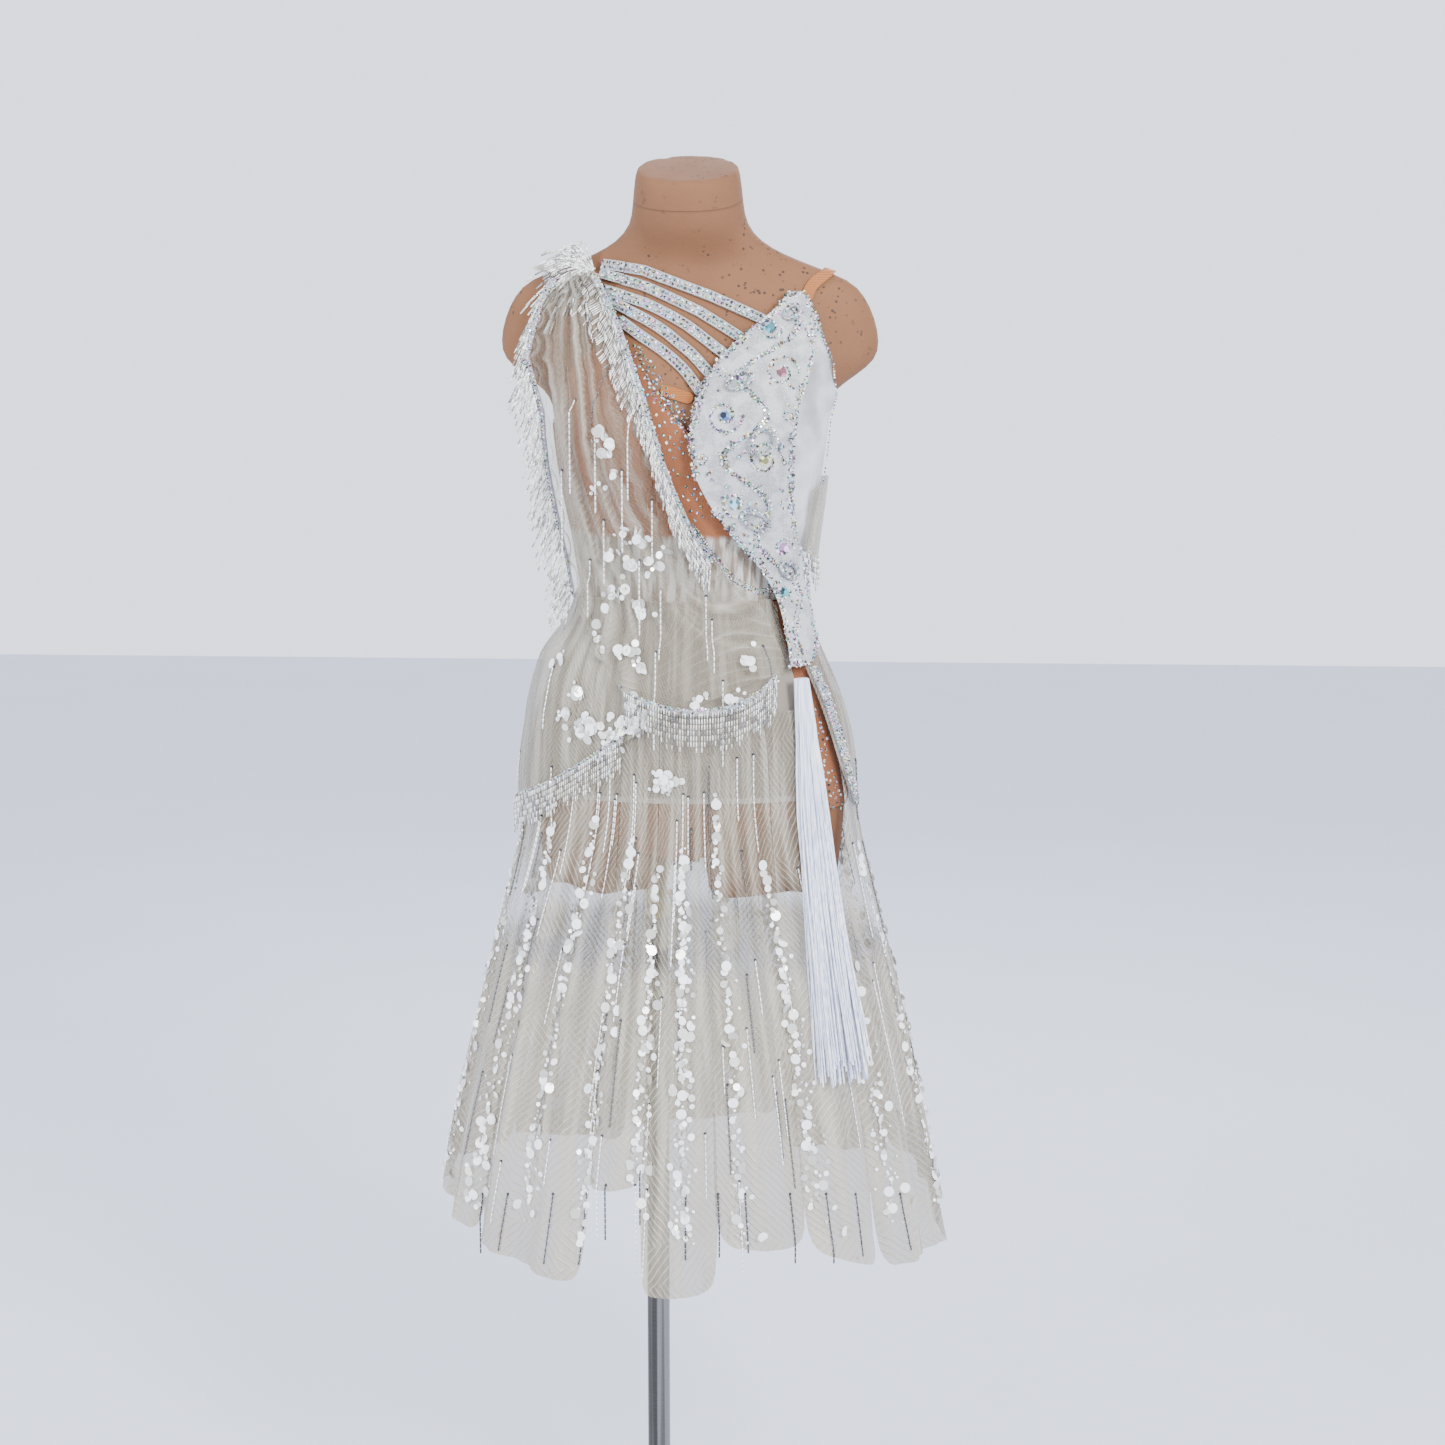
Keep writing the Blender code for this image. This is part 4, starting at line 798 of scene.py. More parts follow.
# %% [markdown]
# The shoulder piece is sewn to the back panel's neck edge. Its cloth is let down to that edge, more
# at the foot than higher up, and stays as far from the form as it was.
# %% Shoulder let down
LET_DOWN_OVER = 0.09
LAP = 0.003
EDGE_STEP = 0.002


def height_on(edge, across):
    return min(edge, key=lambda p: abs(p.x - across)).z


neck_edge = spaced(max(read_side("back_panel", sides), key=mean_height), EDGE_STEP)
foot = spaced(min(read_side("shoulder_back", sides), key=mean_height), EDGE_STEP)
furthest = 0.0
for vert in pieces["shoulder_back_cloth"].data.vertices:
    bottom = height_on(foot, vert.co.x)
    share = min(1.0, max(0.0, 1.0 - (vert.co.z - bottom) / LET_DOWN_OVER))
    drop = min(0.0, height_on(neck_edge, vert.co.x) - LAP - bottom) * share
    furthest = min(furthest, drop)
    away = form_tree.find_nearest(vert.co)[3]
    on_body, normal, _, _ = form_tree.find_nearest(vert.co + Vector((0, 0, drop)))
    vert.co = on_body + normal * away
print(f"the shoulder piece is let down by up to {-furthest * 1000:.0f} mm")

# %% [markdown]
# Small stones and beads repeat by the hundred, so each kind is one stamp of a few faces, set down many
# times in one mesh. Every stamp's faces get that stone's own tint, and a cut stone's facets also get
# painted glints, some lighter and some darker.
# %% Helpers that set stones and beads
def cone_stamp(sides_round, top_radius, depth, keep_base=True):
    shape = bmesh.new()
    bmesh.ops.create_cone(
        shape, cap_ends=True, segments=sides_round, radius1=1.0, radius2=top_radius, depth=depth,
    )
    if not keep_base:
        low = [f for f in shape.faces if f.calc_center_median().z < -depth * 0.49]
        bmesh.ops.delete(shape, geom=low, context="FACES_ONLY")
    return mesh_of("stamp", shape)


def disc_stamp(sides_round):
    shape = bmesh.new()
    bmesh.ops.create_circle(shape, cap_ends=True, segments=sides_round, radius=1.0)
    return mesh_of("stamp", shape)


def seat(point, normal, size, spin=0.0, lift=0.0):
    """Where a stamp goes: its own up along the normal."""
    turn = normal.to_track_quat("Z", "Y").to_matrix().to_4x4()
    scale = Matrix.Diagonal((size, size, size, 1.0))
    return Matrix.Translation(point + normal * lift) @ turn @ Matrix.Rotation(spin, 4, "Z") @ scale


STONE_LIFT = 0.0005


def turned_seat(point, normal, size, lift=STONE_LIFT):
    """A seat at a random turn about its normal."""
    return seat(point, normal, size, chance.random() * 3, lift)


# How light or dark each facet of a cut stone is painted: painted glints and painted dark reflections,
# not the stone's own colour.
PAINTED_GLINT_LEVELS = (0.03, 0.10, 0.22, 0.45, 0.9, 1.2)


def strewn(name, stamp, seats, tints, finish, stands_for=(), smooth=False, cut=False):
    """One mesh of many stamps. A cut stone's facets get painted glints: each facet's tint is made
    lighter or darker at random, standing in for reflections.
    """
    shape = bmesh.new()
    for where in seats:
        one = stamp.copy()
        one.transform(where)
        shape.from_mesh(one)
        bpy.data.meshes.remove(one)
    made = finished(name, shape, finish, stands_for, smooth)
    tints_with_glints = []
    for tint_of in tints:
        for _ in range(len(stamp.polygons)):
            # Painted glint: a cut stone's facet gets a random light or dark level.
            level = chance.choice(PAINTED_GLINT_LEVELS) if cut else 1.0
            tints_with_glints += [min(1.0, part * level) for part in tint_of] + [1.0]
    layer = made.data.attributes.new("tint_and_glints", "FLOAT_COLOR", "FACE")
    layer.data.foreach_set("color", tints_with_glints)
    return made


STONE_TINTS = (
    (0.92, 0.94, 0.96), (0.70, 0.78, 0.86), (0.50, 0.80, 0.84), (0.86, 0.58, 0.80),
    (0.56, 0.60, 0.90), (0.84, 0.86, 0.54), (0.52, 0.82, 0.62), (0.45, 0.50, 0.58),
    (0.98, 0.98, 0.98), (0.86, 0.88, 0.90), (0.62, 0.66, 0.70), (0.98, 0.98, 1.0),
)
BRIGHT_TINTS = STONE_TINTS + (
    (0.90, 0.45, 0.78), (0.35, 0.72, 0.92), (0.62, 0.48, 0.92), (0.42, 0.88, 0.72),
    (0.95, 0.90, 0.45), (0.95, 0.62, 0.42), (1.0, 1.0, 1.0), (1.0, 1.0, 1.0),
)
chance = random.Random(7)
stone = cone_stamp(6, 0.55, 0.7, keep_base=False)


def picked(palette, seats):
    return [chance.choice(palette) for _ in seats]


def set_stones(name, seats):
    strewn(name, stone, seats, picked(BRIGHT_TINTS, seats), stone_glass, cut=True)


print("faces of a stone:", len(stone.polygons))


# %% [markdown]
# A trim is a braid with stones glued all over it. The stones are dropped at random and kept only
# where no other is too near, which packs them as closely as a maker would. A strap has tidy rows.
# %% Trims and straps
TRIES_PER_STONE = 14


def dropped(shape, pitch):
    """Points and normals on a sheet, no two nearer than the pitch."""
    faces = [face for face in shape.faces if face.calc_area() > 0]
    areas = [face.calc_area() for face in faces]
    wanted = int(sum(areas) / (pitch * pitch) * TRIES_PER_STONE)
    grid = {}
    found = []
    for face in chance.choices(faces, areas, k=wanted):
        corners = [v.co for v in face.verts]
        a, b = chance.random(), chance.random()
        if a + b > 1:
            a, b = 1 - a, 1 - b
        i = chance.randrange(1, len(corners) - 1)
        point = corners[0] + (corners[i] - corners[0]) * a + (corners[i + 1] - corners[0]) * b
        cell = tuple(int(c // pitch) for c in point)
        near = (
            other
            for x in (-1, 0, 1) for y in (-1, 0, 1) for z in (-1, 0, 1)
            for other in grid.get((cell[0] + x, cell[1] + y, cell[2] + z), ())
        )
        if all((other - point).length > pitch for other in near):
            grid.setdefault(cell, []).append(point)
            found.append((point, face.normal.copy()))
    return found


def in_rows(shape, shares, pitch):
    """Points and normals in rows along a strap. A share is how far across the strap a row lies."""
    tree = BVHTree.FromBMesh(shape)
    pairs = pairs_across(shape)
    found = []
    for share in shares:
        for point in spaced([a.lerp(b, share) for a, b in pairs], pitch):
            place, normal, _, _ = tree.find_nearest(point)
            found.append((place, normal if normal.dot(body_way(place)) > 0 else -normal))
    return found


# Two bold rows of stones on each strap: how far across, how far apart, and how large.
STRAP_ROWS = (0.27, 0.73)
STRAP_PITCH = 0.0046
STRAP_STONE = 0.0023
TRIMS = ("yoke_trim", "slit_trim", "cowl_neck_trim", "cowl_arm_trim", "cowl_hem_trim")
stone_seats = []
for node in TRIMS:
    paint_node(node, braid_white)
    side = outer_side(node)
    for point, normal in dropped(side, 0.0034):
        size = chance.uniform(0.0014, 0.0021)
        stone_seats.append(turned_seat(point, normal, size))
    side.free()
for number in range(1, 6):
    node = f"crystal_strap_{number}"
    paint_node(node, braid_white)
    side = outer_side(node)
    for point, normal in in_rows(side, STRAP_ROWS, STRAP_PITCH):
        stone_seats.append(turned_seat(point, normal, STRAP_STONE))
    side.free()
# A strap that stops short runs on under the cowl's neck trim or the applique, as a stoned ribbon.
STRAP_OUTER_LIFT = 0.0042
SHORTEST_RIBBON = 0.010
# How far a ribbon goes in under the applique's edge.
TUCKED_UNDER = 0.008
# How much a near target point is preferred to one that lies closer to the strap's line.
NEAR_FIRST = 0.3


def strap_ribbon(number, line, edges, target, further):
    """A ribbon from a strap's end, on along the strap's own way to a target line."""
    way = (line[0] - line[1]).normalized()
    ahead = [p - line[0] for p in target if (p - line[0]).dot(way) > 0]
    if not ahead:
        return 0
    met = min(ahead, key=lambda step: step.cross(way).length + NEAR_FIRST * step.dot(way))
    run = way * (met.dot(way) + further)
    if run.length < SHORTEST_RIBBON:
        return 0
    first, second = edges
    ribbon = bmesh.new()
    bmesh.ops.create_grid(ribbon, x_segments=1, y_segments=4, size=0.5)
    for vert in ribbon.verts:
        from_end, across = vert.co.y + 0.5, vert.co.x + 0.5
        place = first.lerp(second, across) + run * from_end
        on_body, normal, _, _ = form_tree.find_nearest(place)
        vert.co = on_body + normal * STRAP_OUTER_LIFT
    ribbon.normal_update()
    for point, normal in in_rows(ribbon, STRAP_ROWS, STRAP_PITCH):
        stone_seats.append(turned_seat(point, normal, STRAP_STONE))
    area = sum(face.calc_area() for face in ribbon.faces)
    # A ribbon is a strip of one width, so its mean length is its area over that.
    width = (second - first).length
    length = area / width
    made = finished(f"strap_end_{number}", ribbon, braid_white)
    print(f"strap end {number}: {width * 1000:.0f} x {length * 1000:.0f} mm")
    return 1


applique_edge = spaced(read_side("applique_base", boundary), EDGE_STEP)
cowl_neck = spaced(neck_line, EDGE_STEP)
strap_ends = 0
for number in range(1, 6):
    node = f"crystal_strap_{number}"
    line = sorted(centre_line(node), key=lambda p: p.x)
    ends = sorted(read_side(node, sides), key=length_of)[:2]
    left, right = sorted(ends, key=lambda end: sum(p.x for p in end) / len(end))
    for hand, way, end, target, further in (
        ("left", line, left, cowl_neck, 0.0),
        ("right", line[::-1], right, applique_edge, TUCKED_UNDER),
    ):
        strap_ends += strap_ribbon(f"{number}_{hand}", way, (end[0], end[-1]), target, further)
set_stones("trim_stones", stone_seats)
print("stones on the trims and straps:", len(stone_seats), "strap ends:", strap_ends)

# %% [markdown]
# Some places are easiest to give as lines and outlines drawn in the picture, in its pixels. A ray
# from the camera then finds the cloth there.
# %% Helpers that draw in the picture
PIXEL = 0.00108


CIRCLE_STEPS = 10


def circle(across, down, radius):
    """Points of a circle in the picture."""
    angles = [math.radians(360 * i / CIRCLE_STEPS) for i in range(CIRCLE_STEPS + 1)]
    return [(across + radius * math.cos(a), down + radius * math.sin(a)) for a in angles]


def drawn(path, gap):
    """Points and normals on the cloth along a line in the picture."""
    corners = [Vector((*corner, 0.0)) for corner in path]
    found = [seen(spot.x, spot.y) for spot in spaced(corners, gap)]
    return [(point, normal) for point, normal in found if point is not None]


def inside(across, down, outline):
    """True inside an outline, by counting the edges that a line to the right crosses."""
    crossed = False
    for (ax, ay), (bx, by) in zip(outline, outline[1:] + outline[:1]):
        if (ay > down) != (by > down) and across < (bx - ax) * (down - ay) / (by - ay) + ax:
            crossed = not crossed
    return crossed


def strewn_in(outline, gap, tries):
    """Places inside an outline in the picture, no two nearer than a gap in pixels."""
    left, right = min(p[0] for p in outline), max(p[0] for p in outline)
    top, foot = min(p[1] for p in outline), max(p[1] for p in outline)
    kept = []
    for _ in range(tries):
        spot = (chance.uniform(left, right), chance.uniform(top, foot))
        if inside(*spot, outline) and all(math.dist(spot, other) > gap for other in kept):
            kept.append(spot)
    return kept


print("a circle has", len(circle(0, 0, 1)), "points")

# %% [markdown]
# The applique is white lace on satin. Stones crowd along its edge, on its cord rings and along plain
# scrolls, and are few between them. The scrolls are a running pattern worked out by rule.
# %% Applique
EDGE_BAND = 0.0062
# The ornament is a plain running scroll, laid out by rule: a wavy stem down the middle, a curl in
# each bend, and a floret outside it. Sizes are in pixels of the picture, or shares of half the width.
SCROLL_TOP = 306
SCROLL_FOOT = 660
BEND = 44.0
STEM_SWING = 0.40
CURL_ASIDE = 0.42
CURL_RADIUS = 0.36
FLORET_ASIDE = 0.80
FLORET_RADIUS = 4.6
CURL_TURN = 500
CURL_STEPS = 26
# Narrower than this, half across, there is no room for a curl.
NARROW = 16
CURL_TINTS = (
    (0.10, 0.42, 0.48), (0.88, 0.34, 0.44), (0.22, 0.40, 0.86), (0.90, 0.86, 0.40),
    (0.34, 0.74, 0.88), (0.80, 0.44, 0.84),
)
applique_tree = tree_of(["applique_cloth"])


def span(down):
    """The middle of the applique, and half its width, on one row of the picture."""
    hits = [across for across in range(680, 850, 2) if seen(across, down, applique_tree)[0] is not None]
    return ((hits[0] + hits[-1]) / 2, (hits[-1] - hits[0]) / 2) if hits else (0.0, 0.0)


def curl(across, down, radius, hand):
    """Points of a spiral in the picture that winds in to a quarter of its radius."""
    found = []
    for i in range(CURL_STEPS + 1):
        share = i / CURL_STEPS
        angle = hand * math.radians(CURL_TURN * share)
        reach = radius * (1.0 - 0.75 * share)
        found.append((across + reach * math.cos(angle), down + reach * math.sin(angle)))
    return found


applique_seats = []


def glue(spots, low, high, lift=0.0006):
    for point, normal in spots:
        applique_seats.append(turned_seat(point, normal, chance.uniform(low, high), lift))


side = outer_side("applique_base")
edge = spaced(boundary(side), 0.003)
for point, normal in dropped(side, 0.0034):
    near_edge = nearest(edge, point) < EDGE_BAND
    if near_edge or chance.random() < 0.03:
        glue([(point, normal)], 0.0016, 0.0025)
side.free()
# The cup's own edge carries one row of stones.
cup_edge = spaced(read_side("cup_left", boundary), 0.0044)
glue([(p, body_way(p)) for p in cup_edge], 0.0017, 0.0022, 0.0012)
for number in range(1, 6):
    node = f"scroll_ring_{number}"
    paint_node(node, braid_white)
    ring = copy_of(node)
    glue([(p, n) for p, n in dropped(ring, 0.0029) if n.dot(body_way(p)) > 0.25], 0.0014, 0.0021, 0.0003)
    ring.free()
stem = []
for down in range(SCROLL_TOP, SCROLL_FOOT, 3):
    middle, half = span(down)
    swing = STEM_SWING * half * math.sin(math.pi * (down - SCROLL_TOP) / BEND)
    if half:
        stem.append((middle + swing, down))
for aside in (-2.0, 2.0):
    glue(drawn([(across + aside, down) for across, down in stem], 3.9), 0.0017, 0.0025)
big_places = []
for number in range(int((SCROLL_FOOT - SCROLL_TOP) / BEND)):
    down = SCROLL_TOP + BEND * (number + 0.5)
    middle, half = span(int(down))
    if half < NARROW:
        continue
    hand = 1 if number % 2 == 0 else -1
    heart = middle - hand * CURL_ASIDE * half
    glue(drawn(curl(heart, down, CURL_RADIUS * half, hand), 3.9), 0.0018, 0.0026)
    big_places.append((heart, down))
    floret = middle + hand * FLORET_ASIDE * half
    glue(drawn(circle(floret, down, FLORET_RADIUS), 4.4), 0.0016, 0.0022)
# Two rows of small stones follow the drape's edge below the wedge.
for row in (
    ((693, 525), (716, 556), (735, 578), (757, 590), (778, 588)),
    ((694, 529), (715, 560), (734, 582), (757, 594), (778, 591)),
):
    glue(drawn(row, 2.6), 0.0012, 0.0017)
set_stones("applique_stones", applique_seats)
LARGE_STONE = 0.0062
big = cone_stamp(8, 0.55, 0.8)
big_seats, big_tints = [], []
for number, place in enumerate(big_places):
    point, normal = seen(*place)
    if point is not None:
        big_seats.append(seat(point, normal, LARGE_STONE, 0.4, lift=0.0020))
        big_tints.append(CURL_TINTS[number % len(CURL_TINTS)])
strewn("large_stones", big, big_seats, big_tints, stone_glass, cut=True)
print("stones on the applique:", len(applique_seats), "large:", len(big_seats))

# %% [markdown]
# Bare skin-coloured mesh shows in a wedge on the chest and in the slit at the hip. Its stones are
# thick at the top of the wedge and scattered below.
# %% Stones on the mesh
WEDGE_TOP = [(630, 341), (645, 352), (668, 388), (692, 424), (690, 440), (672, 420), (652, 398)]
WEDGE = [(632, 350), (692, 432), (694, 477), (716, 517), (694, 525), (673, 472), (651, 408)]
SLIT_MESH = [(801, 685), (811, 698), (828, 734), (829, 763), (843, 793), (843, 808), (826, 808),
             (814, 771), (804, 710)]
mesh_seats = []
for outline, gap, tries in ((WEDGE_TOP, 3.9, 3000), (WEDGE, 6.0, 900), (SLIT_MESH, 4.4, 1800)):
    for across, down in strewn_in(outline, gap, tries):
        point, normal = seen(across, down)
        if point is not None:
            mesh_seats.append(turned_seat(point, normal, chance.uniform(0.0016, 0.0023)))
set_stones("mesh_stones", mesh_seats)
print("stones on the mesh:", len(mesh_seats))

# %% [markdown]
# A beaded fringe is many short strings of bugle beads. Each string hangs down from its trim and lies
# against whatever cloth is under it. The arm's fringe swings away from the cloth as it falls.
# %% Fringe
BUGLE_TINTS = ((0.82, 0.80, 0.74), (0.56, 0.55, 0.50), (1.0, 1.0, 0.96), (0.24, 0.24, 0.24))
bugle = cone_stamp(4, 1.0, 1.0)


BEAD_STEP = 0.006
CLEAR_OF_CLOTH = 0.0012


def hanging(root, length, lean=Vector((0, 0, 0))):
    """Points down a string of beads, pushed out where the cloth stands in its way."""
    points = [root]
    for _ in range(max(1, round(length / BEAD_STEP))):
        point = points[-1] - Vector((0, 0, BEAD_STEP)) + lean * BEAD_STEP
        flat = point - MIDDLE
        turn = math.degrees(math.atan2(flat.y, flat.x))
        found, _ = outermost(turn, point.z)
        if found is not None:
            way = Vector((flat.x, flat.y, 0.0)).normalized()
            short = (found - point).dot(way) + CLEAR_OF_CLOTH
            if 0 < short < 0.03:
                point = point + way * short
        points.append(point)
    return points


def beads_on(points, radius):
    """Seats of bugle beads between points in a row."""
    made = []
    for a, b in zip(points, points[1:]):
        way = b - a
        turn = way.to_track_quat("Z", "Y").to_matrix().to_4x4()
        scale = Matrix.Diagonal((radius, radius, way.length * 0.86, 1.0))
        made.append(Matrix.Translation((a + b) / 2) @ turn @ scale)
    return made


for node, trim, drop, gap, swing in (
    ("neck_fringe", "cowl_neck_trim", 0.034, 0.0024, -0.05),
    ("arm_fringe", "cowl_arm_trim", 0.040, 0.0018, -0.42),
    ("hem_fringe", "cowl_hem_trim", 0.038, 0.0028, 0.0),
    ("yoke_fringe", "yoke_trim", 0.034, 0.0028, 0.0),
):
    seats_of = []
    for root in spaced(centre_line(trim), gap):
        start = root + body_way(root) * 0.0022
        lean = Vector((swing * chance.uniform(0.5, 1.3), 0.0, 0.0))
        points = hanging(start, drop * chance.uniform(0.75, 1.12), lean)
        seats_of += beads_on(points, 0.0007)
    shades = picked(BUGLE_TINTS, seats_of)
    strewn(f"{node}_beads", bugle, seats_of, shades, bugle_glass, (node,), smooth=True)
    print(node, "beads:", len(seats_of))

# %% [markdown]
# Long strings of bugle beads hang loose all over the cloth, each from one small dark stone. A few
# dark ones hang past the hem.
# %% Loose strings
LOOSE_ON_COWL = (
    (596, 430, 75), (604, 520, 62), (622, 470, 80), (640, 560, 70), (660, 590, 66), (575, 400, 90),
    (590, 560, 58), (634, 410, 84), (612, 365, 60), (706, 596, 60), (562, 470, 84), (652, 500, 55),
)
LOOSE_ON_HIP = (
    (554, 667, 62), (656, 652, 94), (712, 620, 50), (723, 681, 85), (763, 646, 48), (737, 758, 60),
    (574, 789, 84), (600, 793, 104), (634, 775, 112), (540, 820, 70), (709, 805, 88), (677, 821, 92),
)
LOOSE_TINTS = ((1.0, 1.0, 0.98), (1.0, 0.99, 0.96), (0.90, 0.89, 0.86), (0.10, 0.10, 0.10))
DARK_THREAD = (0.03, 0.03, 0.035)
LOOSE_ANYWHERE = 170
# Where the threads that hang past the hem start, across the picture.
AT_HEM = (483, 508, 553, 587, 606, 640, 685, 718, 745, 790, 826, 855, 900)
string_seats, string_tints, knot_seats = [], [], []


def hang_string(root, normal, length, tints, radius=0.0008):
    """One loose string from a small dark stone."""
    if root is None:
        return
    beads = beads_on(hanging(root + normal * 0.0014, length), radius)
    string_seats.extend(beads)
    one = chance.choice(tints)
    string_tints.extend(one for _ in beads)
    knot_seats.append(seat(root, normal, 0.0018, lift=0.0010))


for across, down, pixels in LOOSE_ON_COWL + LOOSE_ON_HIP:
    hang_string(*seen(across, down), pixels * PIXEL, LOOSE_TINTS)
for _ in range(LOOSE_ANYWHERE):
    turn = chance.uniform(-180, 180)
    height = chance.uniform(0.50, 0.95)
    hang_string(*outermost(turn, height), chance.uniform(0.04, 0.11), LOOSE_TINTS)
for across in AT_HEM:
    foot = next((down for down in range(1200, 1000, -3) if seen(across, down)[0] is not None), None)
    if foot is not None:
        root, normal = seen(across, foot - 6)
        hang_string(root, normal, chance.uniform(0.045, 0.075), (DARK_THREAD,), 0.0009)
strewn("loose_strings", bugle, string_seats, string_tints, bugle_glass, smooth=True)
strewn("string_stones", stone, knot_seats, [(0.04, 0.04, 0.05)] * len(knot_seats), stone_glass)
print("loose strings:", len(knot_seats))

# %% [markdown]
# Strands stand up round the shoulder seam like a small spray, and others edge the flap at the side.
# %% Spray and flap fringe
up_in_view = camera_turn @ Vector((0, 1, 0))
right_in_view = camera_turn @ Vector((1, 0, 0))
spray_seats = []
SPRAY_STRANDS = 62
SPRAY_STEPS = 6
DROOP = 0.55
root, normal = seen(592, 268)
for _ in range(SPRAY_STRANDS):
    angle = math.radians(chance.uniform(92, 232))
    reach = chance.uniform(0.030, 0.072)
    way = right_in_view * math.cos(angle) + up_in_view * math.sin(angle)
    start = root + right_in_view * chance.uniform(-0.012, 0.006) + normal * 0.002
    points = []
    for i in range(SPRAY_STEPS + 1):
        share = i / SPRAY_STEPS
        points.append(start + way * reach * share - up_in_view * reach * DROOP * share * share)
    spray_seats += beads_on(points, 0.0010)
for root in spaced(min(read_side("side_flutter", sides), key=mean_height), 0.0030):
    start = root + body_way(root) * 0.001
    spray_seats += beads_on(hanging(start, chance.uniform(0.018, 0.034)), 0.0007)
shades = picked(BUGLE_TINTS, spray_seats)
strewn("spray_beads", bugle, spray_seats, shades, bugle_glass, smooth=True)
print("beads in the spray and flap fringe:", len(spray_seats))

# %% [markdown]
# Sequins are flat discs of very mixed size. On the skirt they run down the ridge of every fold, and
# on the hip and cowl they crowd into clusters. Each tips a little, so that some of them flash.
# %% Sequins
sequin = disc_stamp(10)
SEQUIN_TINTS = (
    (1.0, 1.0, 1.0), (0.98, 0.98, 1.0), (0.96, 0.95, 0.91), (0.66, 0.65, 0.61), (0.50, 0.49, 0.45),
)
SEQUIN_SIZES = (0.0012, 0.0016, 0.0020, 0.0024, 0.0030, 0.0040, 0.0056)
# The turn where each gore starts and ends, and its number of folds, as in the CAD.
GORE_FOLDS = (
    (-180, -143, 2), (-143, -110, 2), (-110, -97, 1), (-97, -83, 1), (-83, -62, 1), (-62, -41, 1),
    (-41, 0, 2), (0, 36, 2), (36, 72, 2), (72, 108, 2), (108, 144, 2), (144, 180, 2),
)
# Clusters in the picture: across, down, spread and number.
CLUSTERS = (
    (598, 436, 9, 9), (608, 452, 7, 10), (612, 474, 5, 6), (597, 490, 6, 5), (626, 532, 12, 12),
    (640, 542, 9, 9), (610, 553, 6, 4), (631, 564, 8, 8), (651, 568, 8, 8), (667, 551, 6, 4),
    (619, 595, 13, 22), (645, 610, 10, 12), (600, 640, 10, 9), (625, 655, 10, 12), (640, 668, 9, 12),
    (590, 725, 16, 34), (612, 735, 18, 40), (635, 720, 16, 34), (664, 782, 12, 26), (560, 655, 8, 6),
    (580, 690, 10, 10), (566, 720, 10, 8), (700, 700, 14, 8), (738, 696, 14, 8), (745, 660, 12, 6),
)
sequin_seats = []


def sew_sequin(point, normal, size):
    tip = Vector((chance.gauss(0, 0.32), chance.gauss(0, 0.32), chance.gauss(0, 0.22)))
    lift = 0.0016 + chance.random() * 0.0012
    sequin_seats.append(seat(point, (normal + tip).normalized(), size, lift=lift))


def sew_run(turn, top, foot, crowd, wander):
    """Sequins down one ridge, thick in some stretches and thin in others."""
    height = top
    while height > foot:
        size = chance.choice(SEQUIN_SIZES)
        point, normal = outermost(turn + chance.gauss(0, wander), height)
        if point is not None:
            sew_sequin(point, normal, size)
        height -= (size + 0.0012) * chance.uniform(0.7, 2.2) / crowd


for start, end, folds in GORE_FOLDS:
    for number in range(folds):
        ridge = start + (end - start) * (number + 0.5) / folds
        top, foot = chance.uniform(0.80, 0.90), chance.uniform(0.42, 0.48)
        sew_run(ridge, top, foot, chance.uniform(1.0, 1.9), 0.9)
        sew_run(ridge + 2.6, chance.uniform(0.70, 0.86), 0.45, chance.uniform(0.3, 0.9), 1.3)
for across, down, spread, number in CLUSTERS:
    for _ in range(number):
        point, normal = seen(chance.gauss(across, spread / 2), chance.gauss(down, spread / 2))
        if point is not None:
            sew_sequin(point, normal, chance.choice(SEQUIN_SIZES[2:]))
shades = picked(SEQUIN_TINTS, sequin_seats)
strewn("skirt_sequins", sequin, sequin_seats, shades, sequin_film)
print("sequins:", len(sequin_seats))

# %% [markdown]
# The tassel is a thick hank of silk, bound at the top. Each lock is a slim curve, and the locks
# spread as they fall.
# %% Tassel
def spread_at(low, high):
    """Middle, long way and half extents of the CAD tassel between two heights."""
    points = [v.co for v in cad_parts["tassel"].data.vertices if low <= v.co.z <= high]
    middle = sum(points, Vector()) / len(points)
    xx = sum((p.x - middle.x) ** 2 for p in points)
    yy = sum((p.y - middle.y) ** 2 for p in points)
    xy = sum((p.x - middle.x) * (p.y - middle.y) for p in points)
    angle = 0.5 * math.atan2(2 * xy, xx - yy)
    way = Vector((math.cos(angle), math.sin(angle), 0.0))
    side = Vector((-way.y, way.x, 0.0))
    wide = max(abs((p - middle).dot(way)) for p in points)
    deep = max(abs((p - middle).dot(side)) for p in points)
    return middle, way, side, wide, deep


tassel_low, tassel_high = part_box("tassel")
bands = [
    spread_at(tassel_high.z - 0.02, tassel_high.z),
    spread_at(0.82, 0.90),
    spread_at(tassel_low.z, tassel_low.z + 0.03),
]
curve = bpy.data.curves.new("tassel_locks", "CURVE")
curve.dimensions = "3D"
curve.bevel_depth = 0.0013
curve.bevel_resolution = 0
LOCKS = 150
STEPS_DOWN = 8
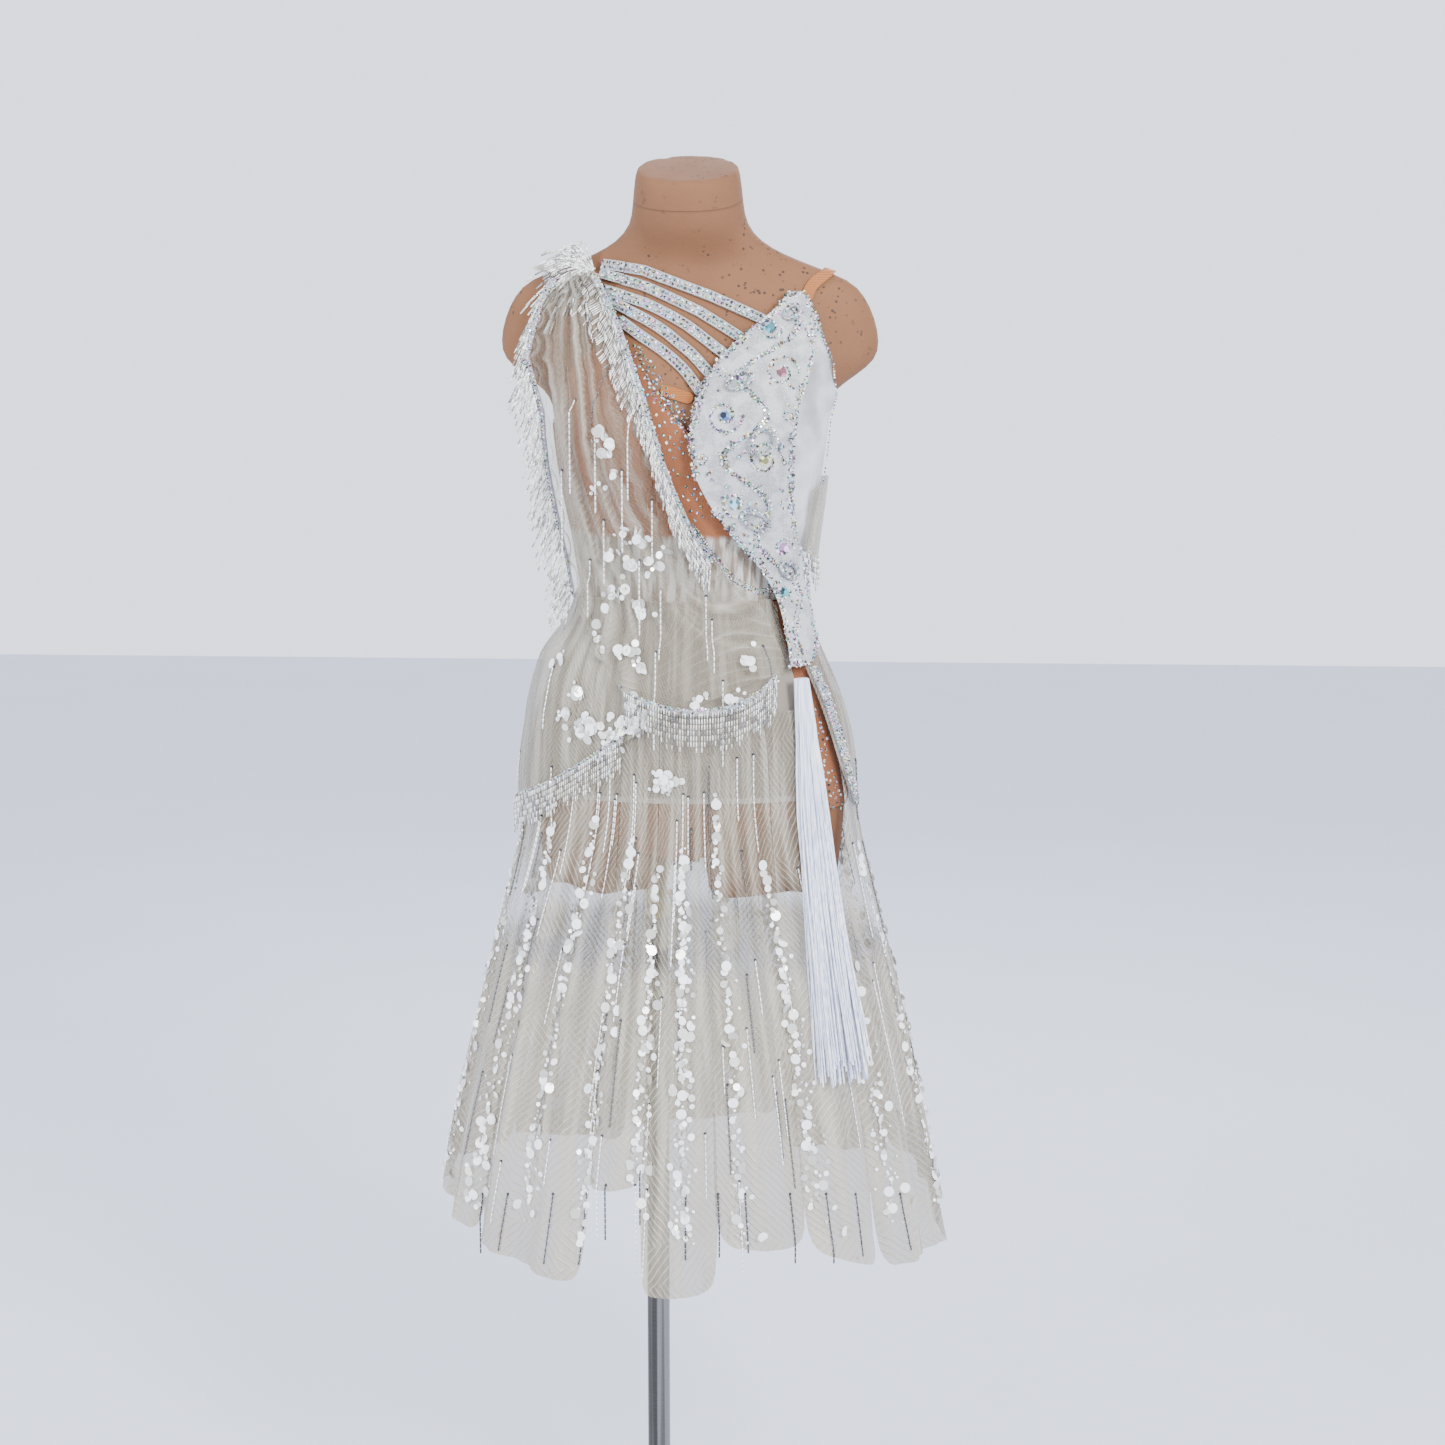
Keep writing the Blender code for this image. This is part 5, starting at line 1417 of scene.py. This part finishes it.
# Where a lock bends: its share of the way down, and its height.
KNEE = 0.4
KNEE_HEIGHT = 0.86
HEAD_DEPTH = 0.012
for lock in range(LOCKS):
    a, b = chance.uniform(-1, 1), chance.uniform(-1, 1)
    end = chance.uniform(0.0, 0.03)
    sway = chance.uniform(-1, 1) * 0.002
    stops = []
    heights = (tassel_high.z - HEAD_DEPTH, KNEE_HEIGHT, tassel_low.z + end)
    for height, (middle, way, side, wide, deep) in zip(heights, bands):
        point = middle + way * (a * wide * 0.92) + side * (b * deep * 0.85)
        point.z = height
        stops.append(point)
    line = curve.splines.new("POLY")
    line.points.add(STEPS_DOWN)
    for i, spot in enumerate(line.points):
        t = i / STEPS_DOWN
        if t < KNEE:
            place = stops[0].lerp(stops[1], t / KNEE)
        else:
            place = stops[1].lerp(stops[2], (t - KNEE) / (1.0 - KNEE))
        place.x += sway * math.sin(t * 9 + lock)
        spot.co = (*place, 1.0)
        spot.radius = 1.0 - 0.35 * t * t
finished("tassel_silk", drawn_out(curve), silk, ("tassel",))
print("tassel locks:", LOCKS)

# %% [markdown]
# The studio is plain: a pale floor, a pale wall of light from all round, and one large soft lamp on
# each side, so that stones and sequins have something to throw back.
# %% Floor and light
floor_shape = bmesh.new()
bmesh.ops.create_grid(floor_shape, x_segments=1, y_segments=1, size=6.0)
floor = linked("floor", mesh_of("floor", floor_shape))
floor_paint = Finish("floor_paint", Roughness=0.8)
floor_tone = floor_paint.place().noise(3.0)
floor_paint.paint(floor_tone, (0.58, 0.61, 0.70), (0.62, 0.65, 0.74))
floor.data.materials.append(floor_paint.material)

world = bpy.data.worlds.new("studio")
world.use_nodes = True
world.node_tree.nodes["Background"].inputs["Color"].default_value = (0.80, 0.84, 0.95, 1.0)
world.node_tree.nodes["Background"].inputs["Strength"].default_value = 2.3
bpy.context.scene.world = world


def soft_lamp(name, place, size, power):
    lamp = bpy.data.lights.new(name, "AREA")
    lamp.shape = "RECTANGLE"
    lamp.size, lamp.size_y = size
    lamp.energy = power
    made = linked(name, lamp)
    made.location = place
    way = MIDDLE + Vector((0, 0, 1.0)) - Vector(place)
    made.rotation_euler = way.to_track_quat("-Z", "Y").to_euler()


soft_lamp("key_lamp", (1.6, -2.2, 2.4), (0.7, 1.0), 130.0)
soft_lamp("fill_lamp", (-2.0, -1.8, 1.8), (0.7, 1.2), 60.0)
soft_lamp("back_lamp", (0.3, 2.4, 2.4), (1.4, 1.0), 50.0)
print("lamps: 3")
